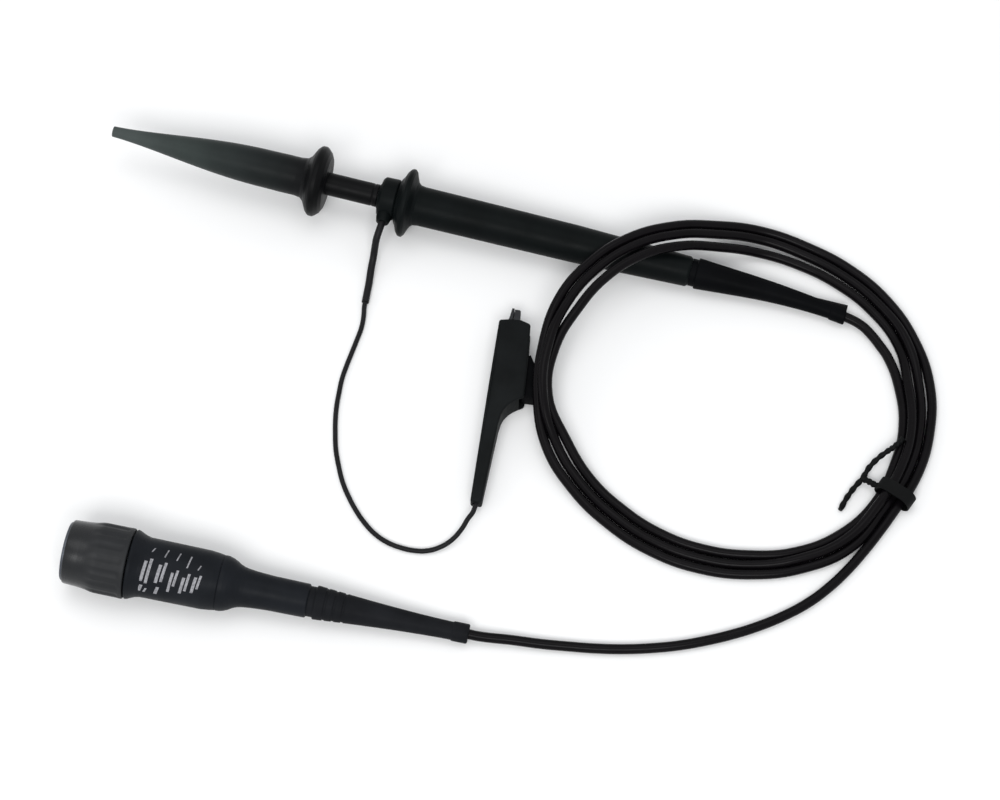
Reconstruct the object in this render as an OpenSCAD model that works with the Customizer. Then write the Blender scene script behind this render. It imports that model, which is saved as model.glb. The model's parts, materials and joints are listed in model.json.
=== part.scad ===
// Passive 10X oscilloscope probe: a head with a sprung hook tip, a ground lead with an alligator clip,
// one metre of coaxial cable in a tied coil, and a compensation box with a BNC plug.
// Millimetres, +Z up, standing on z = 0. The head lies along +X, from its hook tip to its boot.

/* [Hook tip] */
// Length of the sleeve, from its nose to the back of its flange
sleeve_length = 55.6; // [53:0.1:57]
// Widest diameter of the sleeve's body
sleeve_d = 9.5; // [9.2:0.1:10.5]
// Diameter of the sleeve's nose
sleeve_nose_d = 2.7; // [2.5:0.1:3]
// Diameter of the finger flange at the back of the sleeve
flange_d = 17.6; // [15:0.1:19]
// Length of the sleeve's rear guide, which runs on the carrier
guide_length = 7; // [5:0.5:8]
// Diameter of the carrier's shaft, which shows behind the flange
carrier_d = 5.6; // [5.4:0.1:5.8]
// Length of the bare shaft between the flange and the ground collar
shaft_length = 13.5; // [12:0.1:20]
// Room for the hook spring between the sleeve's shoulder and the carrier
spring_room = 16.3; // [14:0.1:18]
// Diameter of the hook's wire
hook_wire_d = 0.56; // [0.5:0.02:0.6]

/* [Nose and barrel] */
// Outer diameter of the ground barrel's slim nose
nose_d = 3.5; // [3.3:0.1:3.8]
// Length of the slim nose, in front of the barrel's shoulder
nose_length = 20.8; // [18:0.1:23]
// Outer diameter of the ground barrel behind its shoulder
barrel_d = 5; // [4.8:0.1:5.2]
// Diameter of the needle
needle_d = 0.8; // [0.7:0.05:0.9]
// How far the needle stands out of the nose
needle_reach = 5; // [4:0.1:5]
// Diameter of the insulator inside the nose
insulator_d = 2.4; // [2.2:0.1:2.6]
// Diameter of the tip resistor
resistor_d = 1.6; // [1.4:0.1:1.8]
// Length of the tip resistor
resistor_length = 7; // [5:0.5:8]

/* [Handle and boot] */
// Diameter of the finger guard
guard_d = 17; // [15:0.5:19]
// Diameter of the handle just behind the guard
handle_d = 9.8; // [9.4:0.1:11]
// Length of the handle, from the front of its guard to its rear end
handle_length = 74.8; // [70:0.1:80]
// Diameter of the handle at its rear end
handle_rear_d = 7.7; // [7.4:0.1:8.2]
// Inside diameter of the handle
handle_bore_d = 6.8; // [6.4:0.1:7]
// Diameter of the boot's plug, which sits in the handle's rear
boot_plug_d = 5.9; // [5.4:0.1:6.1]
// Diameter of the front boot at its thick end
boot_d = 7.7; // [7.4:0.1:8]
// Length of the front boot outside the handle, groove included
boot_length = 39.7; // [35:0.1:42]

/* [Ground lead] */
// Diameter of the ground collar
collar_d = 10.3; // [9:0.1:11]
// Width of the ground collar
collar_width = 4.6; // [4.2:0.1:5]
// Diameter of the collar's boss, where the lead leaves
boss_d = 3.8; // [3.4:0.1:4]
// How far the boss reaches from the head's axis
boss_reach = 7.2; // [6.5:0.1:7.6]
// Diameter of the ground lead
lead_d = 1.2; // [1.1:0.05:1.4]
// Diameter of the thick sleeve at the lead's start
lead_sleeve_d = 1.8; // [1.7:0.1:2.2]

/* [Alligator clip] */
// Thickness of the clip's housing
clip_thickness = 7; // [6.6:0.1:8]
// Wall of the clip's housing
clip_wall = 0.9; // [0.8:0.05:1]
// Length of the housing, from its mouth to the tail's end
clip_length = 48.7; // [46:0.1:52]
// Distance of the hinge pin from the housing's mouth
clip_pivot_p = 12.5; // [12:0.1:13]
// Distance of the hinge pin from the housing's back
clip_pivot_q = 4.6; // [4.4:0.1:4.8]
// Diameter of the hinge pin
clip_pin_d = 1.6; // [1.4:0.1:1.8]
// Thickness of the jaws' sheet metal
jaw_sheet = 0.6; // [0.5:0.05:0.7]

/* [Cable] */
// Diameter of the coaxial cable
cable_d = 2.4; // [2.2:0.1:2.4]
// Turns in the coil
coil_turns = 3.13; // [3.08:0.01:3.15]
// Radius at which the coil's first turn starts
coil_start_r = 40.2; // [39.5:0.1:42]
// Distance between neighbouring turns, centre to centre
coil_pitch = 2.85; // [2.85:0.01:3.2]
// How much the ring is drawn out of round
coil_oval = 1; // [0:0.1:1.5]
// Height of the turns' centres where they pass over the handle
coil_crossing_z = 12; // [11.9:0.1:14]
// Width of the twist tie
tie_width = 1.6; // [1.2:0.1:2.5]
// Thickness of the twist tie
tie_thickness = 0.35; // [0.3:0.01:0.38]

/* [BNC plug] */
// Bore of the bayonet nut
nut_bore_d = 9.8; // [9.7:0.05:9.9]
// Outer diameter of the metal nut
nut_d = 14; // [13:0.1:14.4]
// Length of the metal nut
nut_length = 14.6; // [14.4:0.1:15.4]
// Largest diameter of the nut's grip
grip_d = 16.8; // [16:0.1:18]
// Flutes around the grip
grip_flutes = 16; // [12:1:20]
// Outer diameter of the plug's outer contact
contact_d = 8.06; // [8.02:0.01:8.1]
// Bore of the plug's outer contact
contact_bore_d = 4.9; // [4.83:0.01:5]
// Diameter of the centre pin
pin_d = 1.35; // [1.32:0.01:1.37]
// Depth of the insulator's face behind the contact's rim
insulator_depth = 5.3; // [5:0.1:5.5]
// Diameter of the barrel that the nut turns on
journal_d = 8; // [7.8:0.1:8.2]
// Diameter of a bayonet groove
groove_d = 2.2; // [2.1:0.05:2.4]

/* [Compensation box] */
// Diameter of the box behind the nut
box_d = 14.2; // [14:0.1:15]
// Length of the box's straight shell
box_length = 21.4; // [20:0.1:23]
// Wall of the box
box_wall = 1; // [0.8:0.05:1.1]
// Thickness of the circuit board
board_thickness = 0.8; // [0.6:0.1:1]
// Diameter of the trimmer
trimmer_d = 4; // [3.6:0.1:4.4]
// Diameter of the trimmer's screw
trimmer_screw_d = 2.4; // [2:0.1:2.6]
// Diameter of the neck behind the box
neck_d = 8.4; // [8:0.1:9]
// Length of the shoulder and neck behind the shell
tail_length = 21.2; // [20:0.1:24]
// Diameter of the rear boot at its thick end
rear_boot_d = 7.9; // [7.4:0.1:8.2]
// Length of the rear boot outside the neck, groove included
rear_boot_length = 38.3; // [36:0.1:42]

/* [Hidden] */
$fn = 64;

// Clearances, on the radius unless they are gaps along an axis
running = 0.05;   // between pieces that move
seated = 0.03;    // between pieces fixed to each other
end_gap = 0.1;    // between a stop and what rests on it
side_gap = 0.3;   // between neighbours that move past each other

// Stations along the head's axis, from the hook tip's nose
guide_front = sleeve_length - guide_length;
carrier_collar_width = 3;
carrier_collar_rear = guide_front - end_gap;
carrier_collar_front = carrier_collar_rear - carrier_collar_width;
sleeve_shoulder = carrier_collar_front - spring_room;
carrier_boss_length = 4.4;
carrier_front = carrier_collar_front - carrier_boss_length;
collar_front = sleeve_length + shaft_length;
collar_rear = collar_front + collar_width;
barrel_shoulder = collar_front - 2 * end_gap;
nose_front = barrel_shoulder - nose_length;
needle_front = nose_front - needle_reach;
handle_front = collar_rear;
handle_rear = handle_front + handle_length;
boot_end = handle_rear + boot_length;

// Hook tip
ogive_length = 40;
ogive_power = 1.5;
flange_width = 1.7;
flange_cone = 3.6;
flange_rear_cone = 1.6;
nose_bore_d = 1.5;
nose_bore_length = 9;
wire_bore_d = 2.6;
spring_bore_d = 6.7;
carrier_boss_d = 3.2;
socket_d = 1.86;
socket_wall_x = 1.2;
socket_length = 5;
hook_bend_r = 0.38;
hook_bend_x = 1.2;
hook_return = 1.4;

// Barrel and what it holds
barrel_rear = handle_front + 6.8;
spigot_d = 3.2;
spigot_length = 7.5;
spigot_end = barrel_rear + spigot_length;
crimp_d = 5;
crimp_over_coax = 5.5;
needle_length = 15;
resistor_front = needle_front + needle_length;
core_wire_d = 0.5;
insulator_end = spigot_end - 4;

// Handle and boots
guard_cone = 2;
guard_rim = 0.6;
guard_rear = 1.2;
guard_rim_rear = handle_front + guard_cone + guard_rim;
handle_mid_x = 45;
handle_mid_d = 9.4;
handle_taper_end = 2.2;
boot_plug_length = 7.7;
boot_groove = 1.6;
boot_ring_length = 4;
boot_ring_d = 4.5;
boot_end_d = 4;
boot_round = 0.3;
front_taper_power = 1.35;
rear_taper_power = 1.5;
taper_steps = 10;

// Height at which an axis starts, so that nothing it carries is lower than z = 0.
// Each contact is [distance along the axis, radius], and the axis sinks by the tilt.
function rest_height(contacts, tilt) = max([for (c = contacts) c[0] * sin(tilt) + c[1] * cos(tilt)]);

// The head rests on its guard's rim and its boot's end
ring_corner_x = boot_end - boot_round;
head_tilt = atan((guard_d - boot_ring_d) / 2 / (ring_corner_x - guard_rim_rear));
head_z = rest_height(
    [[guard_rim_rear, guard_d / 2], [ring_corner_x, boot_ring_d / 2], [sleeve_length - flange_rear_cone, flange_d / 2]],
    head_tilt
);
head_x = -(boot_end * cos(head_tilt) + (boot_ring_d / 2 - boot_round - sleeve_nose_d / 2) * sin(head_tilt)) / 2;
head_axis = [cos(head_tilt), 0, -sin(head_tilt)];
function head_point(x) = [head_x, 0, head_z] + x * head_axis;

// Ground collar
boss_x = collar_front + 2.4;
ring_width = 2.8;
ring_wall = 0.57;
ring_x = collar_front + (collar_width - ring_width) / 2;
ring_slit = 1;
boss_end = head_point(boss_x) - [0, boss_reach, 0];

// Alligator clip, lying on its side: p runs from the mouth to the tail, q across, z up
clip_at = [11.94, -25.56, 0.02];
clip_yaw = -84.3;
clip_lead_q = 1.45;
clip_mid = clip_thickness / 2;
clip_axis = [cos(clip_yaw), sin(clip_yaw), 0];
clip_side = [-sin(clip_yaw), cos(clip_yaw), 0];
function clip_point(p, q, z) = clip_at + p * clip_axis + q * clip_side + [0, 0, z];
tail_from = 20;
tail_thickness = 3.6;
tail_end_q = 2.8;
crimp_from = 30;
crimp_to = 36;
jaw_reach = 3.5;
bite_length = 1.1;
bite_height = 1.35;
jaw_gap = 0.15;
bite_q = 3.25;
jaw_width = 4;
inner_width = 2.6;
ear_thickness = 0.5;
ear_gap = 0.2;
lever_thickness = 4.4;

// Bayonet nut, journal and box, from the nut's front face
contact_front = 1.2;
finger_slots = 4;
finger_slot_width = 0.5;
finger_slot_end = 6;
gasket_front = 8.1;
gasket_seat_d = contact_d + 0.6;
pin_shank_d = 0.6;
collar_t = 9;
collar_t_width = 1.5;
washer_front = collar_t + collar_t_width + end_gap;
washer_width = 1.6;
thrust_front = washer_front + washer_width + end_gap;
nut_wall_t = nut_length - 1.5;
thrust_d = nut_bore_d - 2 * running;
groove_steps = 8;
groove_turn = 80;
groove_entry = 3;
groove_lead = 4;
GROOVE = [
    for (i = [-1 : groove_steps]) let (a = 90 - groove_turn * i / groove_steps)
        [groove_entry + groove_lead * i / groove_steps, nut_bore_d / 2 * cos(a), nut_bore_d / 2 * sin(a)]
];
grip_front = 0.6;
grip_rear = nut_length + 0.6;
grip_round = 0.5;
grip_nose_d = 15.2;
flute_d = 2.6;
flute_depth = 0.35;
flute_from = 4.8;
flute_to = nut_length - 0.6;
box_front = grip_rear + side_gap;
box_front_wall = 1.1;
shell_flange_d = 11.2;
shell_flange_rear = box_front + box_front_wall + 2;
box_rear = box_front + box_length;
box_rear_d = box_d - 1;
box_collar_d = 16.6;
box_collar_length = 3.4;
tail_spigot_length = 3;
tail_rear = box_rear + tail_length;
shoulder_length = 5.2;
board_front = shell_flange_rear;
board_rear = box_rear - tail_spigot_length - side_gap;
trimmer_t = board_front + 9.4;
trimmer_height = 3;
trimmer_pocket = 1.5;
screw_stand_out = 0.2;
rear_crimp_d = 4.7;
rear_crimp_length = 8;
rear_crimp_front = box_rear + 1.5;
coax_strip = 1;
rear_plug_d = 5.2;
rear_plug_length = 9;
rear_ring_d = 4.8;
rear_end_d = 4.3;
rear_boot_grooves = 3;
rear_groove_step = 2.2;
rear_groove_depth = 0.3;
boot_tip = tail_rear + rear_boot_length;

// The plug rests on its grip's rear rim and its boot's end
grip_corner_t = grip_rear - grip_round;
boot_corner_t = boot_tip - boot_round;
plug_tilt = atan((grip_d - rear_ring_d) / 2 / (boot_corner_t - grip_corner_t));
plug_yaw = 3;
plug_at = [-71.45, -111.35, 0.02 + rest_height(
    [[grip_corner_t, grip_d / 2], [box_front + 0.7, box_collar_d / 2], [boot_corner_t, rear_ring_d / 2]],
    plug_tilt
)];
plug_axis = [cos(plug_tilt) * cos(plug_yaw), cos(plug_tilt) * sin(plug_yaw), -sin(plug_tilt)];
function plug_point(t) = plug_at + t * plug_axis;

// Coil: a flat spiral on the table that rises over the handle and the clip's lever
coil_centre = [71.2, -29.5];
coil_from = 17.4;
rings_per_turn = 24;
coil_rings = round(coil_turns * rings_per_turn);
coil_rest_z = cable_d / 2;
// How the ring strays from a true spiral: [waves around the ring, reach, angle of a crest]
COIL_WAVES = [[1, 1.77, -70.3], [2, 0.91, -13.1], [3, 1.12, -47.2]];
crossing_from = 136;
crossing_to = 157.4;
crossing_ramp_in = 55;
crossing_ramp_out = 85;
tie_angle = 338.4;
tie_flat = 10;
tie_ramp = 25;
tie_clearance = 0.08;
tie_lift = tie_thickness + tie_clearance + 0.02;
function wrap(a) = a - 360 * floor(a / 360);
function ease(s) = s <= 0 ? 1 : s >= 1 ? 0 : (1 + cos(180 * s)) / 2;
function crossing(a) = ease(max((crossing_from - a) / crossing_ramp_in, (a - crossing_to) / crossing_ramp_out));
function coil_z(a) = coil_rest_z
    + (coil_crossing_z - coil_rest_z) * crossing(a)
    + tie_lift * ease((abs(wrap(a - tie_angle + 180) - 180) - tie_flat) / tie_ramp);
function coil_r(a, turned) = coil_start_r + coil_pitch * turned / 360
    + coil_oval * [for (w = COIL_WAVES) w[1] * cos(w[0] * (a - w[2]))] * [for (w = COIL_WAVES) 1];
function coil_point(turned) =
    let (a = coil_from - turned, r = coil_r(a, turned))
    [coil_centre.x + r * cos(a), coil_centre.y + r * sin(a), coil_z(wrap(a))];
function coil_way(turned) = unit(coil_point(turned + 1) - coil_point(turned - 1));
coil_swept = 360 / rings_per_turn * coil_rings;
coil_start = coil_point(0) - cable_d * coil_way(0);
coil_end = coil_point(coil_swept) + cable_d * coil_way(coil_swept);
COIL = concat(
    [coil_start],
    [for (i = [0 : coil_rings]) coil_point(360 / rings_per_turn * i)],
    [coil_end]
);
// Radius at which the swept coil passes, which between two rings is a little less than the spiral's
function swept_r(turned) =
    let (i = turned * rings_per_turn / 360, a = COIL[1 + floor(i)], b = COIL[2 + floor(i)], p = a + (i - floor(i)) * (b - a))
    norm([p.x - coil_centre.x, p.y - coil_centre.y]);

// Routes of the free stretches, from the first exit to the last, with their own height above the table
LEAD_POINTS = [
    [99.2, -2.6, 1.7], [102.3, -6, 1.3], [105.2, -9.7, 1.2]
];
CABLE_LEAD = concat(
    [head_point(boot_end), head_point(boot_end) + cable_d * head_axis],
    LEAD_POINTS,
    [coil_start - cable_d * coil_way(0), coil_start]
);
TAIL_POINTS = [
    [111.2, -63.2, 1.3], [107.7, -68.6, 1.2], [103.9, -74, 1.2], [99.8, -78.9, 1.2], [95, -83.4, 1.2],
    [89.9, -87.3, 1.2], [84.5, -90.9, 1.2], [78.7, -94, 1.2], [72.8, -96.7, 1.2], [66.7, -98.9, 1.2],
    [60.5, -100.7, 1.2], [54.1, -102.1, 1.2], [47.6, -103.2, 1.3], [41.2, -104.2, 1.5], [34.8, -105, 1.9]
];
CABLE_TAIL = concat(
    [coil_end, coil_end + cable_d * coil_way(coil_swept)],
    TAIL_POINTS,
    [plug_point(boot_tip) + cable_d * plug_axis, plug_point(boot_tip)]
);
SLEEVE_POINTS = [
    [-22.6, -11.2, 7.2], [-22.7, -12.4, 5], [-22.8, -14, 3.1], [-23, -16.7, 1.6], [-22.8, -20.3, 0.9]
];
sleeve_exit = [-22.2, -25.8, 0.9];
sleeve_way = unit(sleeve_exit - [-22.4, -23.5, 0.9]);
LEAD_SLEEVE = concat(
    [boss_end, boss_end - [0, lead_sleeve_d, 0]],
    SLEEVE_POINTS,
    [sleeve_exit - lead_sleeve_d * sleeve_way, sleeve_exit]
);
GROUND_POINTS = [
    [-21.6, -29.5, 0.7], [-21.3, -32.8, 0.6], [-21.5, -36.4, 0.6], [-21.8, -40.3, 0.6], [-22.1, -44.2, 0.6],
    [-22.2, -47.9, 0.6], [-21.9, -51.6, 0.6], [-21.5, -55.3, 0.6], [-20.8, -58.9, 0.6], [-19.8, -62.7, 0.6],
    [-18.5, -66.8, 0.6], [-16.8, -70.6, 0.6], [-14.7, -74.6, 0.6], [-12.2, -78.1, 0.6], [-9.5, -81.2, 0.6],
    [-6.7, -83.8, 0.6], [-3.7, -85.9, 0.6], [-0.4, -87.3, 0.6], [3, -87.9, 0.6], [6.4, -87.9, 0.6],
    [9.3, -87.1, 0.7], [11.8, -85.6, 1], [14, -83.6, 1.5], [15.9, -80.8, 2.3], [17.4, -78, 3.1]
];
tail_mouth = clip_point(clip_length, clip_lead_q, clip_mid);
GROUND_LEAD = concat(
    [sleeve_exit, sleeve_exit + lead_d * sleeve_way],
    GROUND_POINTS,
    [tail_mouth + 1.5 * lead_d * clip_axis, tail_mouth, clip_point(crimp_to, clip_lead_q, clip_mid)]
);
TIE_ENDS = [
    [111.6, -35.3, 3.7], [109.4, -39.2, 2.7], [108, -42, 2], [107, -43.7, 1.6], [105.8, -46, 1.4],
    [104.4, -49.2, 1], [102.5, -53.6, 0.6]
];
tie_end_d = 1.1;
cord_sides = 8;
coil_sides = 6;

// Least gap between two turns of the coil, on the points it is swept along
coil_gap = min([
    for (i = [0 : len(COIL) - 1]) for (j = [i + rings_per_turn / 2 : 1 : len(COIL) - 1])
        norm(COIL[i] - COIL[j]) - cable_d
]);
echo(least_gap_in_coil = coil_gap);

function unit(v) = v / norm(v);
function way(route, i) = unit(route[min(i + 1, len(route) - 1)] - route[max(i - 1, 0)]);
function side_of(d) = unit(cross([0, 0, 1], d));

// A ring of points around a route point, square to the route. The first point lies to the side.
function ring_points(route, i, r, sides, turn) =
    let (d = way(route, i), s = side_of(d), u = cross(d, s))
    [for (k = [0 : sides - 1]) let (a = 360 * (k + turn) / sides) route[i] + r * (cos(a) * s + sin(a) * u)];

// A solid cord along a route
module cord(route, d, sides) {
    turn = sides == 6 ? 0.5 : 0;
    last = len(route) - 1;
    points = [for (i = [0 : last]) each ring_points(route, i, d / 2, sides, turn)];
    skin = [
        for (i = [0 : last - 1]) for (k = [0 : sides - 1])
            let (a = i * sides + k, b = i * sides + (k + 1) % sides)
            each [[a, a + sides, b], [b, a + sides, b + sides]]
    ];
    front = [for (k = [1 : sides - 2]) [0, k, k + 1]];
    back = [for (k = [1 : sides - 2]) [last * sides, last * sides + k + 1, last * sides + k]];
    polyhedron(points, concat(skin, front, back));
}

// A turned solid along +X: each point is [x, radius]
module turned(profile) {
    rotate([0, 90, 0]) rotate_extrude() polygon([for (p = profile) [p[1], p[0]]]);
}

// A round rod along +X
module rod(d, from, to) {
    translate([from, 0, 0]) rotate([0, 90, 0]) cylinder(d = d, h = to - from);
}

// A tube along +X
module pipe(outer_d, inner_d, from, to) {
    difference() {
        rod(outer_d, from, to);
        rod(inner_d, from - 1, to + 1);
    }
}

module on_head() {
    translate([head_x, 0, head_z]) rotate([0, head_tilt, 0]) children();
}

module on_clip() {
    translate(clip_at) rotate([0, 0, clip_yaw]) children();
}

module on_plug() {
    translate(plug_at) rotate([0, 0, plug_yaw]) rotate([0, plug_tilt, 0]) children();
}

// Tapered strain relief: plug, groove, concave taper and end ring, with a bore for the cable
module boot(plug_d, plug_front, groove_front, body_d, end_d, ring_d, end, power) {
    body_front = groove_front + boot_groove;
    ring_front = end - boot_ring_length;
    taper = ring_front - body_front;
    difference() {
        turned(concat(
            [
                [plug_front, 0], [plug_front, plug_d / 2], [groove_front, plug_d / 2],
                [groove_front, body_d / 2 - 0.45], [body_front, body_d / 2 - 0.45],
                [body_front, body_d / 2 - boot_round]
            ],
            [
                for (i = [0 : taper_steps]) let (s = i / taper_steps)
                    [
                        body_front + boot_round + s * (taper - boot_round),
                        end_d / 2 + (body_d - end_d) / 2 * pow(1 - s, power)
                    ]
            ],
            [
                [ring_front + boot_round, ring_d / 2], [end - boot_round, ring_d / 2],
                [end, ring_d / 2 - boot_round], [end, 0]
            ]
        ));
        rod(cable_d + 2 * seated, plug_front - 1, end + 1);
    }
}

// ---- Hook tip ----

module hook_sleeve() {
    nose_r = sleeve_nose_d / 2;
    swell = sleeve_d / 2 - nose_r;
    rim_x = sleeve_length - flange_rear_cone - flange_width;
    color([0.09, 0.11, 0.11]) on_head() difference() {
        turned(concat(
            [[0, 0]],
            [for (x = [0 : 2 : ogive_length]) [x, nose_r + swell * pow(sin(90 * x / ogive_length), ogive_power)]],
            [
                [rim_x - flange_cone, sleeve_d / 2], [rim_x - 0.75 * flange_cone, sleeve_d / 2 + 0.3],
                [rim_x - 0.5 * flange_cone, flange_d / 2 - 2.7], [rim_x - 0.2 * flange_cone, flange_d / 2 - 1.1],
                [rim_x, flange_d / 2 - 0.3], [rim_x + 0.4, flange_d / 2],
                [rim_x + flange_width - 0.4, flange_d / 2], [rim_x + flange_width, flange_d / 2 - 0.3],
                [sleeve_length - 0.5 * flange_rear_cone, flange_d / 2 - 1.1],
                [sleeve_length - 0.2 * flange_rear_cone, flange_d / 2 - 2.2],
                [sleeve_length, flange_d / 2 - 4.2],
                [sleeve_length, 0]
            ]
        ));
        rod(nose_bore_d, -1, nose_bore_length + 1);
        rod(wire_bore_d, nose_bore_length, sleeve_shoulder + 1);
        rod(spring_bore_d, sleeve_shoulder, guide_front);
        rod(carrier_d + 2 * running, guide_front - 1, sleeve_length + 1);
    }
}

module hook_carrier() {
    color([0.08, 0.09, 0.09]) on_head() difference() {
        union() {
            rod(carrier_boss_d, carrier_front, carrier_collar_front);
            rod(spring_bore_d - 4 * running, carrier_collar_front, carrier_collar_rear);
            rod(carrier_d, carrier_collar_rear, barrel_shoulder - 2 * end_gap);
        }
        rod(socket_d + 2 * seated, carrier_front - 1, nose_front);
        rod(nose_d + 2 * running, nose_front - 2 * side_gap, barrel_shoulder + 1);
    }
}

module hook_wire() {
    color([0.72, 0.66, 0.5]) on_head() {
        translate([0, 0, -hook_bend_r]) rod(hook_wire_d, hook_bend_x, carrier_front + socket_wall_x);
        translate([hook_bend_x, 0, 0]) rotate([90, 0, 0]) rotate([0, 0, 90])
            rotate_extrude(angle = 180) translate([hook_bend_r, 0]) circle(d = hook_wire_d);
        translate([0, 0, hook_bend_r]) rod(hook_wire_d, hook_bend_x, hook_bend_x + hook_return);
    }
}

module hook_socket() {
    socket_front = carrier_front + socket_wall_x;
    color([0.8, 0.65, 0.3]) on_head() difference() {
        rod(socket_d, socket_front, socket_front + socket_length);
        rod(needle_d + 2 * running, needle_front - side_gap, nose_front);
    }
}

module hook_spring() {
    color([0.7, 0.7, 0.72]) on_head()
        pipe(spring_bore_d - 2 * side_gap, carrier_boss_d + 2 * side_gap, sleeve_shoulder, carrier_collar_front);
}

// ---- Nose and barrel ----

module needle() {
    color([0.82, 0.7, 0.4]) on_head() turned([
        [needle_front, 0], [needle_front + 1, needle_d / 2],
        [resistor_front, needle_d / 2], [resistor_front, 0]
    ]);
}

module nose_insulator() {
    color([0.9, 0.9, 0.86]) on_head() difference() {
        rod(insulator_d, nose_front + side_gap, insulator_end);
        rod(needle_d + 2 * seated, nose_front - 1, resistor_front + 1);
        rod(resistor_d + 2 * seated, resistor_front, insulator_end + 1);
    }
}

module tip_resistor() {
    color([0.55, 0.35, 0.2]) on_head() {
        rod(resistor_d, resistor_front, resistor_front + resistor_length);
        rod(core_wire_d, resistor_front + resistor_length, insulator_end);
    }
}

module ground_barrel() {
    color([0.75, 0.75, 0.76]) on_head() difference() {
        union() {
            rod(nose_d, nose_front, barrel_shoulder);
            rod(barrel_d, barrel_shoulder, barrel_rear);
            rod(spigot_d, barrel_rear, spigot_end);
        }
        rod(insulator_d + 2 * seated, nose_front - 1, spigot_end + 1);
    }
}

// ---- Handle and boot ----

module handle() {
    rim_r = guard_d / 2;
    taper_x = handle_rear - handle_taper_end;
    color([0.07, 0.09, 0.09]) on_head() difference() {
        turned([
            [handle_front, 0], [handle_front, rim_r - 2.2], [handle_front + 0.6 * guard_cone, rim_r - 0.6],
            [handle_front + guard_cone, rim_r - 0.1], [handle_front + guard_cone + 0.2, rim_r], [guard_rim_rear, rim_r],
            [guard_rim_rear + 0.4 * guard_rear, rim_r - 1.1], [guard_rim_rear + 0.8 * guard_rear, handle_d / 2 + 1.3],
            [guard_rim_rear + 1.4 * guard_rear, handle_d / 2 + 0.3], [guard_rim_rear + 2.2 * guard_rear, handle_d / 2],
            [handle_front + handle_mid_x, handle_mid_d / 2],
            [taper_x, handle_rear_d / 2], [handle_rear - boot_round, handle_rear_d / 2 - 0.05],
            [handle_rear, handle_rear_d / 2 - boot_round], [handle_rear, 0]
        ]);
        rod(barrel_d + 2 * seated, handle_front - 1, barrel_rear + 1);
        rod(handle_bore_d, barrel_rear, handle_rear - boot_plug_length);
        rod(boot_plug_d + 2 * seated, handle_rear - boot_plug_length - 1, handle_rear + 1);
    }
}

module handle_crimp() {
    color([0.78, 0.76, 0.7]) on_head() difference() {
        rod(crimp_d, barrel_rear + end_gap, spigot_end + crimp_over_coax);
        rod(spigot_d + 2 * seated, barrel_rear, spigot_end);
        rod(cable_d + 2 * seated, barrel_rear, spigot_end + crimp_over_coax + 1);
    }
}

module front_boot() {
    color([0.05, 0.055, 0.055]) on_head()
        boot(boot_plug_d, handle_rear - boot_plug_length, handle_rear, boot_d, boot_end_d, boot_ring_d, boot_end,
            front_taper_power);
}

module front_coax() {
    color([0.06, 0.055, 0.065]) on_head() {
        rod(core_wire_d, insulator_end, spigot_end + end_gap);
        rod(cable_d, spigot_end + end_gap, boot_end);
    }
}

// ---- Ground lead ----

module ground_ring() {
    inner_d = barrel_d + 2 * seated;
    color([0.78, 0.72, 0.5]) on_head() difference() {
        pipe(inner_d + 2 * ring_wall, inner_d, ring_x, ring_x + ring_width);
        translate([ring_x - 1, 0, -ring_slit / 2]) cube([ring_width + 2, barrel_d, ring_slit]);
    }
}

module ground_collar() {
    color([0.06, 0.075, 0.075]) on_head() difference() {
        union() {
            turned([
                [collar_front, 0], [collar_front, collar_d / 2 - 0.4], [collar_front + 0.4, collar_d / 2],
                [collar_rear - 0.4, collar_d / 2], [collar_rear, collar_d / 2 - 0.4], [collar_rear, 0]
            ]);
            translate([boss_x, 0, 0]) rotate([90, 0, 0]) cylinder(d = boss_d, h = boss_reach);
        }
        rod(barrel_d + 2 * seated, collar_front - 1, collar_rear + 1);
        rod(barrel_d + 2 * ring_wall + 4 * seated, ring_x - seated, ring_x + ring_width + seated);
    }
}

module lead_sleeve() {
    color([0.05, 0.05, 0.05]) cord(LEAD_SLEEVE, lead_sleeve_d, cord_sides);
}

module ground_lead() {
    color([0.05, 0.05, 0.06]) cord(GROUND_LEAD, lead_d, cord_sides);
}

// ---- Alligator clip ----

// The jaws' sheet, seen along the pin: the fixed one lies on the housing's back, the other one opens
fixed_strip = [
    [-jaw_reach, bite_q - bite_height], [-1.2, 1.5], [4, clip_wall], [crimp_from, clip_wall],
    [crimp_from, clip_wall + jaw_sheet], [4.2, clip_wall + jaw_sheet], [-0.6, 2.2],
    [bite_length - jaw_reach, bite_q - jaw_gap / 2], [-jaw_reach, bite_q - jaw_gap / 2]
];
moving_strip = [
    [-jaw_reach, bite_q + jaw_gap / 2], [bite_length - jaw_reach, bite_q + jaw_gap / 2], [-0.6, 4.4], [4.2, 5.3], [10, 6.6],
    [13, 8], [18.6, 9.6], [18.4, 9.6 + jaw_sheet], [12.7, 8 + jaw_sheet], [9.8, 6.6 + jaw_sheet],
    [4, 5.3 + jaw_sheet], [-1, 4.4 + jaw_sheet], [-jaw_reach, bite_q + bite_height]
];

// A plate of the clip, seen along the pin, with a width centred on the clip's middle
module clip_plate(outline, width) {
    translate([0, 0, clip_mid - width / 2]) linear_extrude(width) polygon(outline);
}

// A pair of ears on both sides of the middle
module clip_ears(outline, width) {
    difference() {
        clip_plate(outline, width);
        clip_plate([[-10, -10], [30, -10], [30, 30], [-10, 30]], width - 2 * ear_thickness);
    }
}

module pin_hole(d) {
    translate([clip_pivot_p, clip_pivot_q, -1]) cylinder(d = d, h = clip_thickness + 2);
}

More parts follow.
